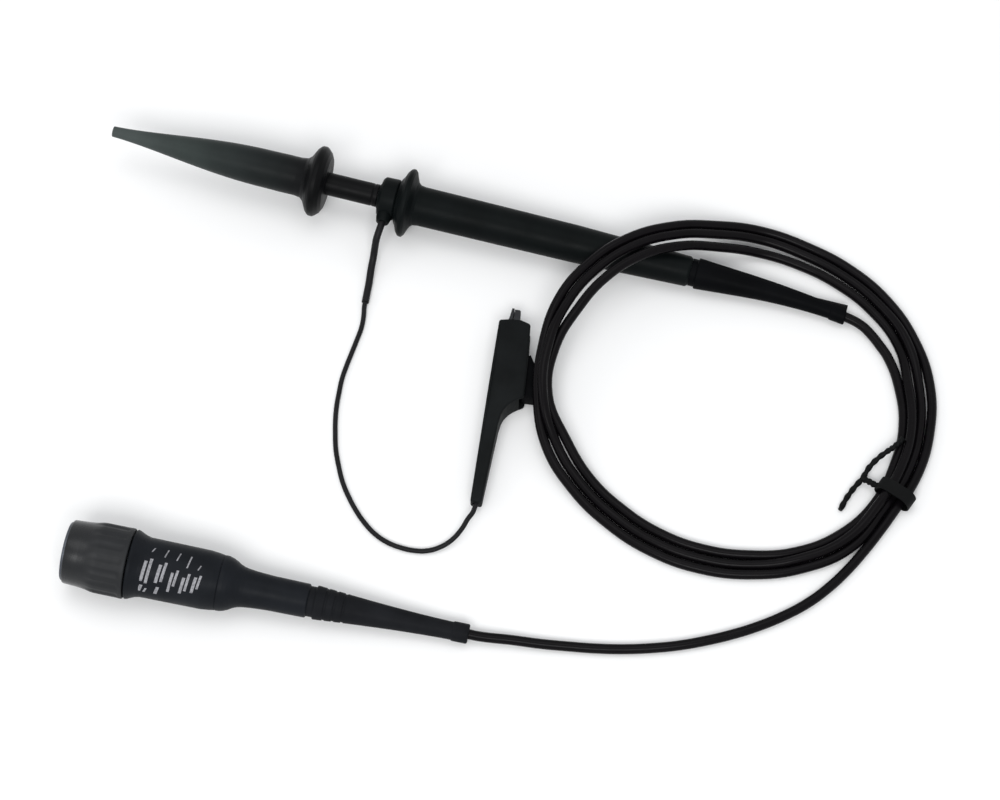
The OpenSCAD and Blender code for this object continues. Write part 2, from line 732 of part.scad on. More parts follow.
module clip_cover() {
    color([0.1, 0.11, 0.11]) on_clip() difference() {
        intersection() {
            linear_extrude(clip_thickness) polygon([
                [0, 0], [clip_length, 0], [clip_length, tail_end_q], [36, 3.4], [28, 3.8], [25.6, 4.1],
                [24.1, 4.6], [22.8, 5.4], [21.8, 6.4], [20.9, 7.6], [20.1, 9], [10.8, 8.6], [0.2, 7.8], [-0.6, 5.4],
                [-0.5, 2.6]
            ]);
            rotate([90, 0, 0]) translate([0, 0, -20]) linear_extrude(40) polygon([
                [0, 0], [tail_from, 0], [clip_length, clip_mid - tail_thickness / 2],
                [clip_length, clip_mid + tail_thickness / 2], [tail_from, clip_thickness], [0, clip_thickness]
            ]);
        }
        translate([0, 0, clip_wall]) linear_extrude(clip_thickness - 2 * clip_wall)
            polygon([[-1, clip_wall], [22.5, clip_wall], [22.5, 3], [20.8, 4.6], [20.8, 12], [-1, 12]]);
        clip_plate([[20, clip_wall], [crimp_from, clip_wall], [crimp_from, clip_wall + jaw_sheet],
            [20, clip_wall + jaw_sheet]], jaw_width);
        translate([0, clip_lead_q, clip_mid]) {
            rod(lead_d + 2 * jaw_sheet + 2 * seated, crimp_from, crimp_to);
            rod(lead_d + 2 * seated, crimp_to - 1, clip_length + 1);
        }
    }
}

module clip_jaw_fixed() {
    color([0.62, 0.62, 0.64]) on_clip() difference() {
        union() {
            clip_plate(fixed_strip, jaw_width);
            clip_ears([
                [8, clip_wall + jaw_sheet / 2], [17, clip_wall + jaw_sheet / 2],
                [clip_pivot_p + 2, clip_pivot_q + 1.6], [clip_pivot_p - 2, clip_pivot_q + 1.6]
            ], jaw_width);
        }
        pin_hole(clip_pin_d + 2 * seated);
    }
}

module clip_jaw_moving() {
    color([0.62, 0.62, 0.64]) on_clip() difference() {
        union() {
            clip_plate(moving_strip, inner_width);
            clip_ears([
                [9, 6.6], [15.5, 8.9], [clip_pivot_p + 1.8, clip_pivot_q - 1.3],
                [clip_pivot_p - 1.8, clip_pivot_q - 1.3]
            ], inner_width);
        }
        pin_hole(clip_pin_d + 2 * running);
    }
}

module clip_lever() {
    color([0.04, 0.045, 0.045]) on_clip() difference() {
        clip_plate([
            [8, 8.9], [12, 11.1], [17, 11.8], [19.2, 12.1], [19.5, 11.8], [19.5, 8.2], [19.2, 7.9],
            [15.8, 7.3], [15.6, 8.3], [12.6, 7.2], [9.6, 7.4]
        ], lever_thickness);
        clip_plate(moving_strip, inner_width);
        clip_plate([
            [9, 6.6], [15.5, 8.9], [clip_pivot_p + 1.8, clip_pivot_q - 1.3],
            [clip_pivot_p - 1.8, clip_pivot_q - 1.3]
        ], inner_width);
    }
}

module clip_pin() {
    color([0.7, 0.7, 0.7]) on_clip()
        translate([clip_pivot_p, clip_pivot_q, clip_wall]) cylinder(d = clip_pin_d, h = clip_thickness - 2 * clip_wall);
}

module clip_spring() {
    coil_width = inner_width - 2 * ear_thickness - 2 * ear_gap;
    ring_r = clip_pin_d / 2 + 0.9;
    strip_q = clip_wall + jaw_sheet - clip_pivot_q + running;
    color([0.7, 0.7, 0.72]) on_clip() translate([clip_pivot_p, clip_pivot_q, clip_mid - coil_width / 2])
        difference() {
            union() {
                cylinder(r = ring_r, h = coil_width);
                linear_extrude(coil_width)
                    polygon([[0, -ring_r], [6, strip_q], [6, strip_q + 0.45], [0.6, 0.45 - ring_r]]);
                linear_extrude(coil_width)
                    polygon([[-0.9, ring_r - 0.3], [2.3, 3.2], [2.6, 2.9], [0, ring_r - 0.6]]);
            }
            translate([0, 0, -1]) cylinder(d = clip_pin_d + 2 * ear_gap, h = coil_width + 2);
        }
}

module clip_crimp() {
    color([0.78, 0.7, 0.5]) on_clip() translate([0, clip_lead_q, clip_mid])
        rod(lead_d + 2 * jaw_sheet, crimp_from, crimp_to);
}

// ---- Cable ----

module cable_lead() {
    color([0.05, 0.045, 0.055]) cord(CABLE_LEAD, cable_d, cord_sides);
}

module cable_coil() {
    color([0.05, 0.045, 0.055]) cord(COIL, cable_d, coil_sides);
}

module cable_tail() {
    color([0.05, 0.045, 0.055]) cord(CABLE_TAIL, cable_d, cord_sides);
}

// A stadium shape on its side: two round ends and what joins them
module stadium(from, to, r) {
    translate([from, 0]) circle(r = r);
    translate([to, 0]) circle(r = r);
    translate([from, -r]) square([to - from, 2 * r]);
}

module twist_tie() {
    first_turned = wrap(coil_from - tie_angle);
    inner = swept_r(first_turned);
    outer = swept_r(first_turned + 360 * floor(coil_turns));
    bundle_z = coil_rest_z + tie_lift;
    hole_r = cable_d / 2 + tie_clearance;
    twist_r = inner - hole_r - tie_thickness / 2;
    twist_from = [coil_centre.x + twist_r * cos(tie_angle), coil_centre.y + twist_r * sin(tie_angle), bundle_z];
    color([0.06, 0.06, 0.065]) {
        translate([coil_centre.x, coil_centre.y, bundle_z]) rotate([0, 0, tie_angle])
            translate([0, tie_width / 2, 0]) rotate([90, 0, 0]) linear_extrude(tie_width) difference() {
                stadium(inner, outer, hole_r + tie_thickness);
                stadium(inner, outer, hole_r);
            }
        cord(TIE_ENDS, tie_end_d, coil_sides);
        cord([twist_from, TIE_ENDS[3]], tie_end_d + 0.3, coil_sides);
    }
}

// ---- BNC plug ----

module bnc_shell() {
    color([0.72, 0.73, 0.75]) on_plug() difference() {
        union() {
            turned([
                [contact_front, 0], [contact_front, contact_d / 2], [gasket_front - 0.2, contact_d / 2],
                [gasket_front, gasket_seat_d / 2], [collar_t, gasket_seat_d / 2], [collar_t, 0]
            ]);
            rod(thrust_d - 2 * running, collar_t, collar_t + collar_t_width);
            rod(journal_d, collar_t + collar_t_width, shell_flange_rear);
            rod(shell_flange_d, box_front + box_front_wall, shell_flange_rear);
        }
        rod(contact_bore_d, contact_front - 1, shell_flange_rear + 1);
        for (i = [0 : finger_slots - 1]) rotate([360 * (i + 0.5) / finger_slots, 0, 0])
            translate([contact_front - 1, 0, -finger_slot_width / 2])
                cube([finger_slot_end - contact_front + 1, contact_d, finger_slot_width]);
    }
}

module bnc_insulator() {
    face = contact_front + insulator_depth;
    color([0.93, 0.93, 0.9]) on_plug() difference() {
        rod(contact_bore_d - 2 * seated, face, shell_flange_rear);
        rod(pin_shank_d + 2 * seated, face - 1, shell_flange_rear + 1);
    }
}

module bnc_pin() {
    face = contact_front + insulator_depth;
    color([0.85, 0.7, 0.35]) on_plug() turned([
        [contact_front + 0.4, 0], [contact_front + 0.4, pin_d / 4], [contact_front + 1.1, pin_d / 2],
        [face - seated, pin_d / 2], [face - seated, pin_shank_d / 2],
        [shell_flange_rear, pin_shank_d / 2], [shell_flange_rear, 0]
    ]);
}

module bnc_gasket() {
    color([0.45, 0.15, 0.1]) on_plug()
        pipe(thrust_d - 4 * running, gasket_seat_d + 2 * seated, gasket_front, collar_t);
}

module wave_washer() {
    color([0.7, 0.7, 0.7]) on_plug()
        pipe(thrust_d - 2 * running, journal_d + 4 * running, washer_front, washer_front + washer_width);
}

module thrust_ring() {
    color([0.75, 0.72, 0.6]) on_plug()
        pipe(thrust_d, journal_d + 2 * running, thrust_front, nut_wall_t - running);
}

module bnc_nut() {
    color([0.35, 0.37, 0.4]) on_plug() difference() {
        rod(nut_d, 0, nut_length);
        rod(nut_bore_d, -1, nut_wall_t);
        rod(journal_d + 2 * running, 0, nut_length + 1);
        for (entry = [0, 180]) rotate([entry, 0, 0]) {
            translate([-1, -groove_d / 2, 0]) cube([groove_entry + 1, groove_d, (nut_bore_d + groove_d) / 2]);
            cord(GROOVE, groove_d, cord_sides);
        }
    }
}

module nut_grip() {
    nose_r = grip_nose_d / 2;
    big_r = grip_d / 2;
    color([0.12, 0.13, 0.15]) on_plug() difference() {
        turned([
            [grip_front, 0], [grip_front, nose_r - grip_round], [grip_front + grip_round, nose_r],
            [flute_from - 0.3, nose_r + 0.15], [flute_from + 1.2, big_r - 0.4], [flute_from + 3.2, big_r],
            [grip_rear - grip_round, big_r], [grip_rear, big_r - grip_round], [grip_rear, 0]
        ]);
        rod(nut_d + 2 * seated, grip_front - 1, nut_length);
        rod(journal_d + 4 * running, nut_length - 1, grip_rear + 1);
        for (i = [0 : grip_flutes - 1]) rotate([360 * i / grip_flutes, 0, 0])
            translate([0, 0, big_r - flute_depth + flute_d / 2]) rod(flute_d, flute_from, flute_to);
    }
}

// ---- Compensation box ----

module box_shell() {
    inner_d = box_d - 0.4 - 2 * box_wall;
    color([0.09, 0.1, 0.12]) on_plug() difference() {
        turned([
            [box_front, 0], [box_front, box_collar_d / 2 - 0.4], [box_front + 0.3, box_collar_d / 2],
            [box_front + 0.7, box_collar_d / 2 - 0.1], [box_front + 1.5, box_collar_d / 2 - 0.5],
            [box_front + box_collar_length - 0.9, box_d / 2 + 0.3], [box_front + box_collar_length, box_d / 2],
            [box_rear - 3, box_d / 2 - 0.1], [box_rear - 1, box_d / 2 - 0.3], [box_rear, box_rear_d / 2], [box_rear, 0]
        ]);
        rod(journal_d + 2 * seated, box_front - 1, box_rear);
        rod(inner_d, box_front + box_front_wall, box_rear + 1);
        translate([trimmer_t, 0, 0]) rotate([-90, 0, 0]) cylinder(d = trimmer_screw_d + 0.4, h = box_d);
    }
}

module box_tail() {
    inner_d = box_d - 0.4 - 2 * box_wall;
    shell_r = box_rear_d / 2;
    drop = shell_r - neck_d / 2 - 0.3;
    color([0.09, 0.1, 0.12]) on_plug() difference() {
        turned(concat(
            [
                [box_rear - tail_spigot_length, 0],
                [box_rear - tail_spigot_length, inner_d / 2 - seated],
                [box_rear, inner_d / 2 - seated], [box_rear, shell_r]
            ],
            [
                for (a = [10 : 10 : 90])
                    [box_rear + shoulder_length * 0.48 * sin(a), shell_r - drop * 0.5 * (1 - cos(a))]
            ],
            [
                for (a = [10 : 10 : 90])
                    [
                        box_rear + shoulder_length * (0.48 + 0.52 * (1 - cos(a))),
                        shell_r - drop * (0.5 + 0.5 * sin(a))
                    ]
            ],
            [
                [box_rear + 8, neck_d / 2], [box_rear + 12, neck_d / 2 - 0.15],
                [tail_rear - boot_round, neck_d / 2 - 0.2],
                [tail_rear, neck_d / 2 - 0.2 - boot_round], [tail_rear, 0]
            ]
        ));
        rod(inner_d - 2 * box_wall, box_rear - tail_spigot_length - 1, box_rear);
        rod(rear_crimp_d + 2 * seated, box_rear - 1, rear_crimp_front + rear_crimp_length);
        rod(cable_d + 2 * seated, box_rear, tail_rear + 1);
        rod(rear_plug_d + 2 * seated, tail_rear - rear_plug_length - end_gap, tail_rear + 1);
    }
}

module comp_board() {
    width = box_d - 0.4 - 2 * box_wall - 0.15;
    color([0.1, 0.35, 0.2]) on_plug()
        translate([board_front, -board_thickness / 2, -width / 2])
            cube([board_rear - board_front, board_thickness, width]);
}

module comp_resistor() {
    color([0.55, 0.45, 0.3]) on_plug()
        translate([0, -board_thickness / 2 - 0.8, 2.4]) rod(1.6, board_front + 2, board_front + 8);
}

module comp_capacitor() {
    color([0.75, 0.5, 0.2]) on_plug()
        translate([board_front + 3, -board_thickness / 2 - 1.4, -3.6]) cube([3.2, 1.4, 2]);
}

module trimmer_body() {
    color([0.85, 0.83, 0.75]) on_plug() translate([trimmer_t, board_thickness / 2, 0]) rotate([-90, 0, 0])
        difference() {
            cylinder(d = trimmer_d, h = trimmer_height);
            translate([0, 0, trimmer_height - trimmer_pocket])
                cylinder(d = trimmer_screw_d + 2 * running, h = trimmer_pocket + 1);
        }
}

module trimmer_screw() {
    height = trimmer_pocket - running + screw_stand_out;
    color([0.8, 0.68, 0.4]) on_plug()
        translate([trimmer_t, board_thickness / 2 + trimmer_height - trimmer_pocket + running, 0])
            rotate([-90, 0, 0]) difference() {
                cylinder(d = trimmer_screw_d, h = height);
                translate([-trimmer_screw_d, -0.2, height - 0.5]) cube([2 * trimmer_screw_d, 0.4, 1]);
            }
}

module rear_crimp() {
    color([0.78, 0.76, 0.7]) on_plug()
        pipe(rear_crimp_d, cable_d + 2 * seated, rear_crimp_front, rear_crimp_front + rear_crimp_length);
}

module rear_boot() {
    color([0.08, 0.09, 0.1]) on_plug() difference() {
        boot(rear_plug_d, tail_rear - rear_plug_length, tail_rear, rear_boot_d, rear_end_d, rear_ring_d, boot_tip,
            rear_taper_power);
        for (i = [1 : rear_boot_grooves])
            translate([tail_rear + boot_groove + i * rear_groove_step, 0, 0])
                pipe(rear_boot_d + 2, rear_boot_d - 0.34 * i - 2 * rear_groove_depth, 0, 0.7);
    }
}

module rear_coax() {
    color([0.05, 0.045, 0.055]) on_plug() {
        rod(core_wire_d, board_rear, box_rear + coax_strip);
        rod(cable_d, box_rear + coax_strip, boot_tip);
    }
}

hook_sleeve();
hook_carrier();
hook_wire();
hook_socket();
hook_spring();
needle();
nose_insulator();
tip_resistor();
ground_barrel();
handle();
handle_crimp();
front_boot();
front_coax();
ground_ring();
ground_collar();
lead_sleeve();
ground_lead();
clip_cover();
clip_jaw_fixed();
clip_jaw_moving();
clip_lever();
clip_pin();
clip_spring();
clip_crimp();
cable_lead();
cable_coil();
cable_tail();
twist_tie();
bnc_shell();
bnc_insulator();
bnc_pin();
bnc_gasket();
wave_washer();
thrust_ring();
bnc_nut();
nut_grip();
box_shell();
box_tail();
comp_board();
comp_resistor();
comp_capacitor();
trimmer_body();
trimmer_screw();
rear_crimp();
rear_boot();
rear_coax();
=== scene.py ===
"""Looks of a passive 10X oscilloscope probe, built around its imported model.

Millimetres in each part's own frame, turned into metres by the frame's matrix:
the head along its axis from the hook tip's nose, the clip from its mouth, the plug from its nut's front.
"""

import json
import math

import bmesh
import bpy
from mathutils import Matrix, Vector


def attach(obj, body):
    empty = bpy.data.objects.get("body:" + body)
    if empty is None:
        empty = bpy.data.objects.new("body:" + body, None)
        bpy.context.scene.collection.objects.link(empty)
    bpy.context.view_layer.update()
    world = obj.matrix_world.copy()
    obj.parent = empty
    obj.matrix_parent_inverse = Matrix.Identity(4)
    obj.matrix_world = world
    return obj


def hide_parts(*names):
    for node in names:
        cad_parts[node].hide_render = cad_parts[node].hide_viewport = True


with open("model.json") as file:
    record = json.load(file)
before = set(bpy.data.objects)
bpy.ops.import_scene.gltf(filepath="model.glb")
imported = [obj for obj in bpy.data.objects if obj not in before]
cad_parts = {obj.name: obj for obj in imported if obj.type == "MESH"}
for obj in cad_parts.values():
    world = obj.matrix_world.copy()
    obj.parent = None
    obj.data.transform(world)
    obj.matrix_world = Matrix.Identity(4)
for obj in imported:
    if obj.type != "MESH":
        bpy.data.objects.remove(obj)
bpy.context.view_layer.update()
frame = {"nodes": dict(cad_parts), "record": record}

MM = 0.001


def placed(at, yaw=0.0, tilt=0.0):
    """Matrix from a part's own frame, in millimetres, to the row frame, in metres."""
    return (
        Matrix.Translation([c * MM for c in at])
        @ Matrix.Rotation(math.radians(yaw), 4, "Z")
        @ Matrix.Rotation(math.radians(tilt), 4, "Y")
        @ Matrix.Scale(MM, 4)
    )


ROW = Matrix.Scale(MM, 4)
HEAD = placed((-93.9696, 0, 12.7531), tilt=3.20542)
CLIP = placed((11.94, -25.56, 0.02), yaw=-84.3)
PLUG = placed((-71.45, -111.35, 9.48842), yaw=3.0, tilt=4.21565)

HEAD_WAY = Vector((0.998435, 0, -0.055916))
CLIP_WAY = Vector((0.0993197, -0.995056, 0))
PLUG_WAY = Vector((0.995928, 0.0521944, -0.0735106))
HEAD_LENGTH = 188.2
CLIP_LENGTH = 48.7
PLUG_LENGTH = 96.4
CLIP_MIDDLE = 3.5  # height of the clip's middle plane

# Diameters of the two cords
CABLE = 2.4
LEAD = 1.2

# Radii of bores: round the coax, round the head's metal barrel, and inside the bayonet nut
COAX_BORE = 1.23
BARREL_BORE = 2.53
NUT_BORE = 4.9


def on(matrix, *point):
    """A point of a part's own frame in row millimetres."""
    return (matrix @ Vector(point)) / MM


# ---- Camera and lights ----

camera = bpy.data.objects.new("camera", bpy.data.cameras.new("camera"))
bpy.context.scene.collection.objects.link(camera)
bpy.context.scene.camera = camera
camera.location = (0.098465, -0.374188, 0.66825)
camera.rotation_euler = (
    (Vector((0.016614, -0.043678, 0)) - camera.location).to_track_quat("-Z", "Y").to_euler()
)
camera.data.sensor_width = 36
camera.data.lens = 110.7
camera.data.clip_start = 0.01
camera.data.clip_end = 10


def softbox(name, at, towards, size, watts):
    """A rectangular area light that faces a point."""
    light = bpy.data.lights.new(name, "AREA")
    light.shape = "RECTANGLE"
    light.size, light.size_y = size
    light.energy = watts
    lamp = bpy.data.objects.new(name, light)
    bpy.context.scene.collection.objects.link(lamp)
    lamp.location = at
    lamp.rotation_euler = (Vector(towards) - lamp.location).to_track_quat("-Z", "Y").to_euler()


softbox("key_box", (0.12, -0.92, 1.02), (0, -0.04, 0), (0.9, 0.42), 9)
softbox("top_box", (-0.1, 0.1, 1.35), (0, -0.04, 0), (1.0, 0.8), 3.5)
softbox("left_box", (-1.0, -0.5, 0.55), (-0.05, -0.04, 0), (0.6, 0.5), 1.2)

world = bpy.data.worlds.new("studio")
bpy.context.scene.world = world
world.use_nodes = True
world_nodes = world.node_tree.nodes
world_links = world.node_tree.links
world_path = world_nodes.new("ShaderNodeLightPath")
around = world_nodes["Background"]
around.inputs["Color"].default_value = (0.97, 0.985, 1, 1)
around.inputs["Strength"].default_value = 0.66


def either(first, second):
    """One where either kind of ray is."""
    node = world_nodes.new("ShaderNodeMath")
    node.operation = "MAXIMUM"
    world_links.new(first, node.inputs[0])
    world_links.new(second, node.inputs[1])
    return node.outputs["Value"]


# The camera, and what the plastic and metal mirror, see a white backdrop. The light that it gives is dimmer
seen = either(world_path.outputs["Is Camera Ray"], world_path.outputs["Is Glossy Ray"])
seen = either(seen, world_path.outputs["Is Transmission Ray"])
backdrop = world_nodes.new("ShaderNodeBackground")
backdrop.inputs["Color"].default_value = (1, 1, 1, 1)
backdrop.inputs["Strength"].default_value = 1
world_mix = world_nodes.new("ShaderNodeMixShader")
world_links.new(seen, world_mix.inputs["Fac"])
world_links.new(around.outputs["Background"], world_mix.inputs[1])
world_links.new(backdrop.outputs["Background"], world_mix.inputs[2])
world_links.new(world_mix.outputs["Shader"], world_nodes["World Output"].inputs["Surface"])

bpy.context.scene.view_settings.view_transform = "Standard"


# ---- Materials ----


class Finish:
    """A material's node tree, with the few building blocks that the finishes share."""

    def __init__(self, name):
        self.material = bpy.data.materials.new(name)
        self.material.use_nodes = True
        self.nodes = self.material.node_tree.nodes
        self.links = self.material.node_tree.links
        self.shader = self.nodes["Principled BSDF"]
        self.place = self.nodes.new("ShaderNodeTexCoord").outputs["Object"]

    def set(self, **values):
        """Numbers on the shader's own sockets."""
        for name, value in values.items():
            self.shader.inputs[name.replace("_", " ")].default_value = value

    def add(self, kind, settings=(), **values):
        node = self.nodes.new("ShaderNode" + kind)
        for key, value in dict(settings).items():
            setattr(node, key, value)
        for key, value in values.items():
            socket = node.inputs[key.replace("_", " ")]
            if isinstance(value, bpy.types.NodeSocket):
                self.links.new(value, socket)
            else:
                socket.default_value = value
        return node

    def noise(self, size, detail=3.0, roughness=0.55, stretch=None):
        """Noise whose features are about size millimetres."""
        vector = self.place
        if stretch:
            vector = self.add("Mapping", Vector=vector, Scale=stretch).outputs["Vector"]
        node = self.add(
            "TexNoise", Vector=vector, Scale=1 / (size * MM), Detail=detail, Roughness=roughness
        )
        return node.outputs["Fac"]

    def ramp(self, value, stops):
        node = self.add("ValToRGB", Fac=value)
        elements = node.color_ramp.elements
        while len(elements) < len(stops):
            elements.new(0.5)
        for element, (at, colour) in zip(elements, stops):
            element.position = at
            element.color = (*colour, 1)
        return node.outputs["Color"]

    def spread(self, value, low, high, start=0.3, stop=0.7):
        """The value's range from start to stop, drawn out from low to high."""
        node = self.add("MapRange", Value=value)
        for key, number in (("From Min", start), ("From Max", stop), ("To Min", low), ("To Max", high)):
            node.inputs[key].default_value = number
        return node.outputs["Result"]

    def bump(self, height, strength, depth, below=None):
        """A normal from a height, with its depth in millimetres."""
        node = self.add("Bump", Height=height, Strength=strength, Distance=depth * MM)
        if below is not None:
            self.links.new(below, node.inputs["Normal"])
        return node.outputs["Normal"]

    def link(self, **sockets):
        """Outputs of other nodes into the shader's sockets."""
        for name, socket in sockets.items():
            self.links.new(socket, self.shader.inputs[name.replace("_", " ")])

    def along(self, way):
        """How far a point lies along a direction."""
        node = self.add("VectorMath", {"operation": "DOT_PRODUCT"})
        self.links.new(self.place, node.inputs[0])
        node.inputs[1].default_value = way
        return node.outputs["Value"]

    def scuffs(self, size, depth, below):
        """Shallow scratches, longer along X, over another bump."""
        scuff = self.noise(size, detail=6, roughness=0.75, stretch=(0.25, 1, 1))
        return self.bump(self.spread(scuff, 0, 1, 0.62, 0.7), 0.25, depth, below=below)


def tones(colour, spread):
    """Darker, plain and paler versions of a colour."""
    return [tuple(c * k for c in colour) for k in (1 - spread, 1, 1 + spread)]


def moulded(name, colour, rough, grain, depth, spread=0.25, specular=0.4, wear=0.0):
    """Moulded plastic or rubber: cloudy colour, fine spark-eroded grain, and handling marks in its gloss."""
    f = Finish(name)
    dark, plain, pale = tones(colour, spread)
    f.link(Base_Color=f.ramp(f.noise(9, detail=4), [(0.3, dark), (0.5, plain), (0.72, pale)]))
    smear = f.noise(3.5, detail=5, roughness=0.7)
    f.link(Roughness=f.spread(smear, rough - 0.07, rough + 0.09))
    normal = f.bump(f.noise(grain, detail=2), 0.5, depth)
    if wear:
        normal = f.scuffs(0.9, wear, normal)
    f.link(Normal=normal)
    f.set(Specular_IOR_Level=specular)
    return f


def metal(name, colour, rough, brush=None, spread=0.08, depth=0.004):
    """Plated metal with tool marks and a little tarnish."""
    f = Finish(name)
    dark, plain, pale = tones(colour, spread)
    f.link(Base_Color=f.ramp(f.noise(2.5, detail=5), [(0.3, dark), (0.5, plain), (0.7, pale)]))
    f.link(Roughness=f.spread(f.noise(1.2, detail=4), rough - 0.06, rough + 0.1))
    f.link(Normal=f.bump(f.noise(0.12, detail=2, stretch=brush), 0.35, depth))
    f.set(Metallic=1.0)
    return f


# Colour, roughness, grain size and grain depth in millimetres
PLASTICS = {
    "handle_plastic": ((0.0036, 0.0048, 0.0050), 0.42, 0.16, 0.010, {"wear": 0.008, "specular": 0.04}),
    # This black also darkens the clip's lever, as painted shade.
    "boot_black_and_painted_shade": ((0.0026, 0.0028, 0.0034), 0.46, 0.12, 0.010, {"specular": 0.02}),
    "boot_rubber": ((0.0100, 0.0107, 0.0125), 0.50, 0.12, 0.010, {"specular": 0.03}),
    "cable_jacket": ((0.0030, 0.0025, 0.0032), 0.24, 0.35, 0.012, {"specular": 0.07}),
    "lead_jacket": ((0.0085, 0.0085, 0.0095), 0.38, 0.25, 0.008, {"specular": 0.1}),
    "clip_plastic": ((0.0078, 0.0088, 0.0092), 0.50, 0.2, 0.012, {"wear": 0.006, "specular": 0.035}),
    "box_plastic": ((0.0088, 0.0101, 0.0126), 0.42, 0.14, 0.010, {"wear": 0.006, "specular": 0.05}),
    "white_insulator": ((0.72, 0.72, 0.68), 0.42, 0.2, 0.004, {"spread": 0.05}),
    "ceramic": ((0.42, 0.24, 0.10), 0.4, 0.1, 0.004, {"spread": 0.15}),
    "gasket_rubber": ((0.24, 0.035, 0.02), 0.5, 0.1, 0.004, {}),
    "tie_plastic": ((0.0046, 0.0050, 0.0052), 0.55, 0.3, 0.02, {"specular": 0.06}),
}

# Colour, roughness and how the tool marks are stretched
METALS = {
    "nut_metal": ((0.075, 0.082, 0.096), 0.34, (0.08, 1, 1)),
    "contact_metal": ((0.66, 0.67, 0.69), 0.24, (1, 0.1, 0.1)),
    "spring_steel": ((0.52, 0.52, 0.54), 0.26, None),
    "clip_steel": ((0.028, 0.029, 0.031), 0.36, (1, 0.12, 1)),
    "brass": ((0.74, 0.52, 0.20), 0.25, (0.1, 1, 1)),
}

FINISHES = {name: moulded(name, *row, **options) for name, (*row, options) in PLASTICS.items()}
FINISHES.update({name: metal(name, *row) for name, row in METALS.items()})


def tip_plastic_and_painted_light():
    """The hook tip's grey-green plastic, with painted light along it: a painted highlight makes it paler towards its
    nose, and painted shade darkens it at the flange.
    """
    f = Finish("tip_plastic")
    # Painted light and shade: the colour ramp along the axis is paler towards the nose as a painted highlight, and
    # nearly black at the flange as painted shade.
    reach = f.spread(f.along(HEAD_WAY), 0, 1, -0.0935, -0.042)
    painted_light_ramp = f.ramp(reach, [
        (0.0, (0.066, 0.078, 0.076)),
        (0.35, (0.036, 0.045, 0.043)),
        (0.62, (0.017, 0.021, 0.021)),
        (0.82, (0.0085, 0.0105, 0.0108)),
        (0.92, (0.0052, 0.0058, 0.0064)),
        (1.0, (0.0022, 0.0024, 0.0028)),
    ])
    cloud = f.ramp(f.noise(7, detail=4), [(0.3, (0.78, 0.78, 0.78)), (0.7, (1, 1, 1))])
    shade = f.add("Mix", {"data_type": "RGBA", "blend_type": "MULTIPLY"})
    shade.inputs[0].default_value = 1
    f.links.new(painted_light_ramp, shade.inputs[6])
    f.links.new(cloud, shade.inputs[7])
    f.link(Base_Color=shade.outputs[2])
    f.link(Roughness=f.spread(f.noise(4, detail=5, roughness=0.7), 0.33, 0.48))
    f.link(Normal=f.scuffs(0.8, 0.008, f.bump(f.noise(0.15, detail=2), 0.5, 0.010)))
    f.set(Specular_IOR_Level=0.07)
    return f


def grip_finish():
    """The grip's plastic, polished by fingers at its front and matt where it is fluted."""
    f = moulded("grip_plastic", (0.0052, 0.0062, 0.0078), 0.40, 0.14, 0.006, wear=0.004, specular=0.3)
    rough = f.add("Math", {"operation": "ADD"})
    f.links.new(f.spread(f.along(PLUG_WAY), 0.26, 0.6, -0.0722, -0.0692), rough.inputs[0])
    f.links.new(f.spread(f.noise(3.5, detail=5, roughness=0.7), -0.04, 0.06), rough.inputs[1])
    f.link(Roughness=rough.outputs["Value"])
    return f


def board_finish():
    """Green solder resist over copper tracks."""
    f = Finish("board_green")
    grid = f.add("TexVoronoi", {"distance": "CHEBYCHEV"}, Vector=f.place, Scale=700.0)
    f.link(Base_Color=f.ramp(grid.outputs["Distance"], [(0.35, (0.012, 0.10, 0.035)), (0.5, (0.03, 0.17, 0.06))]))
    f.link(Roughness=f.spread(f.noise(1.5), 0.22, 0.4))
    f.link(Normal=f.bump(grid.outputs["Distance"], 0.4, 0.02))
    return f


def mark_finish():
    """Off-white printing ink, thin in places."""
    f = Finish("printed_ink")
    thin = f.noise(0.5, detail=5, roughness=0.7)
    f.link(Base_Color=f.ramp(thin, [(0.3, (0.09, 0.09, 0.10)), (0.6, (0.29, 0.29, 0.31))]))
    f.link(Roughness=f.spread(f.noise(0.8), 0.45, 0.65))
    f.link(Normal=f.bump(f.noise(0.1), 0.3, 0.01))
    return f


def floor_finish():
    """Pale sweep, plain to the eye, that keeps the object's shadow."""
    f = Finish("floor")
    f.link(Base_Color=f.ramp(f.noise(300, detail=2), [(0.3, (0.90, 0.90, 0.90)), (0.7, (0.92, 0.92, 0.92))]))
    f.set(Roughness=0.9, Specular_IOR_Level=0.0)
    return f


FINISHES["tip_plastic"] = tip_plastic_and_painted_light()
FINISHES["grip_plastic"] = grip_finish()
FINISHES["board_green"] = board_finish()
INK = mark_finish().material
FLOOR = floor_finish().material

for part in frame["record"]["subparts"]:
    node = frame["nodes"][part["node"]]
    node.data.materials.clear()
    node.data.materials.append(FINISHES[part["material_slot"]].material)


# ---- Meshes ----


def shade(mesh, angle=32):
    """Smooth shading with sharp edges where the faces meet at more than an angle."""
    mesh.polygons.foreach_set("use_smooth", [True] * len(mesh.polygons))
    mesh.set_sharp_from_angle(angle=math.radians(angle))


def piece(name, points, faces, matrix, body, slot, replaced=(), angle=32):
    """A mesh piece from points in a part's own frame."""
    mesh = bpy.data.meshes.new(name)
    mesh.from_pydata([matrix @ Vector(p) for p in points], [], faces)
    bm = bmesh.new()
    bm.from_mesh(mesh)
    bmesh.ops.remove_doubles(bm, verts=bm.verts, dist=1e-7)
    bmesh.ops.recalc_face_normals(bm, faces=bm.faces)
    bm.to_mesh(mesh)
    bm.free()
    mesh.validate()
    shade(mesh, angle)
    obj = bpy.data.objects.new(name, mesh)
    bpy.context.scene.collection.objects.link(obj)
    return dress(obj, body, slot, replaced)


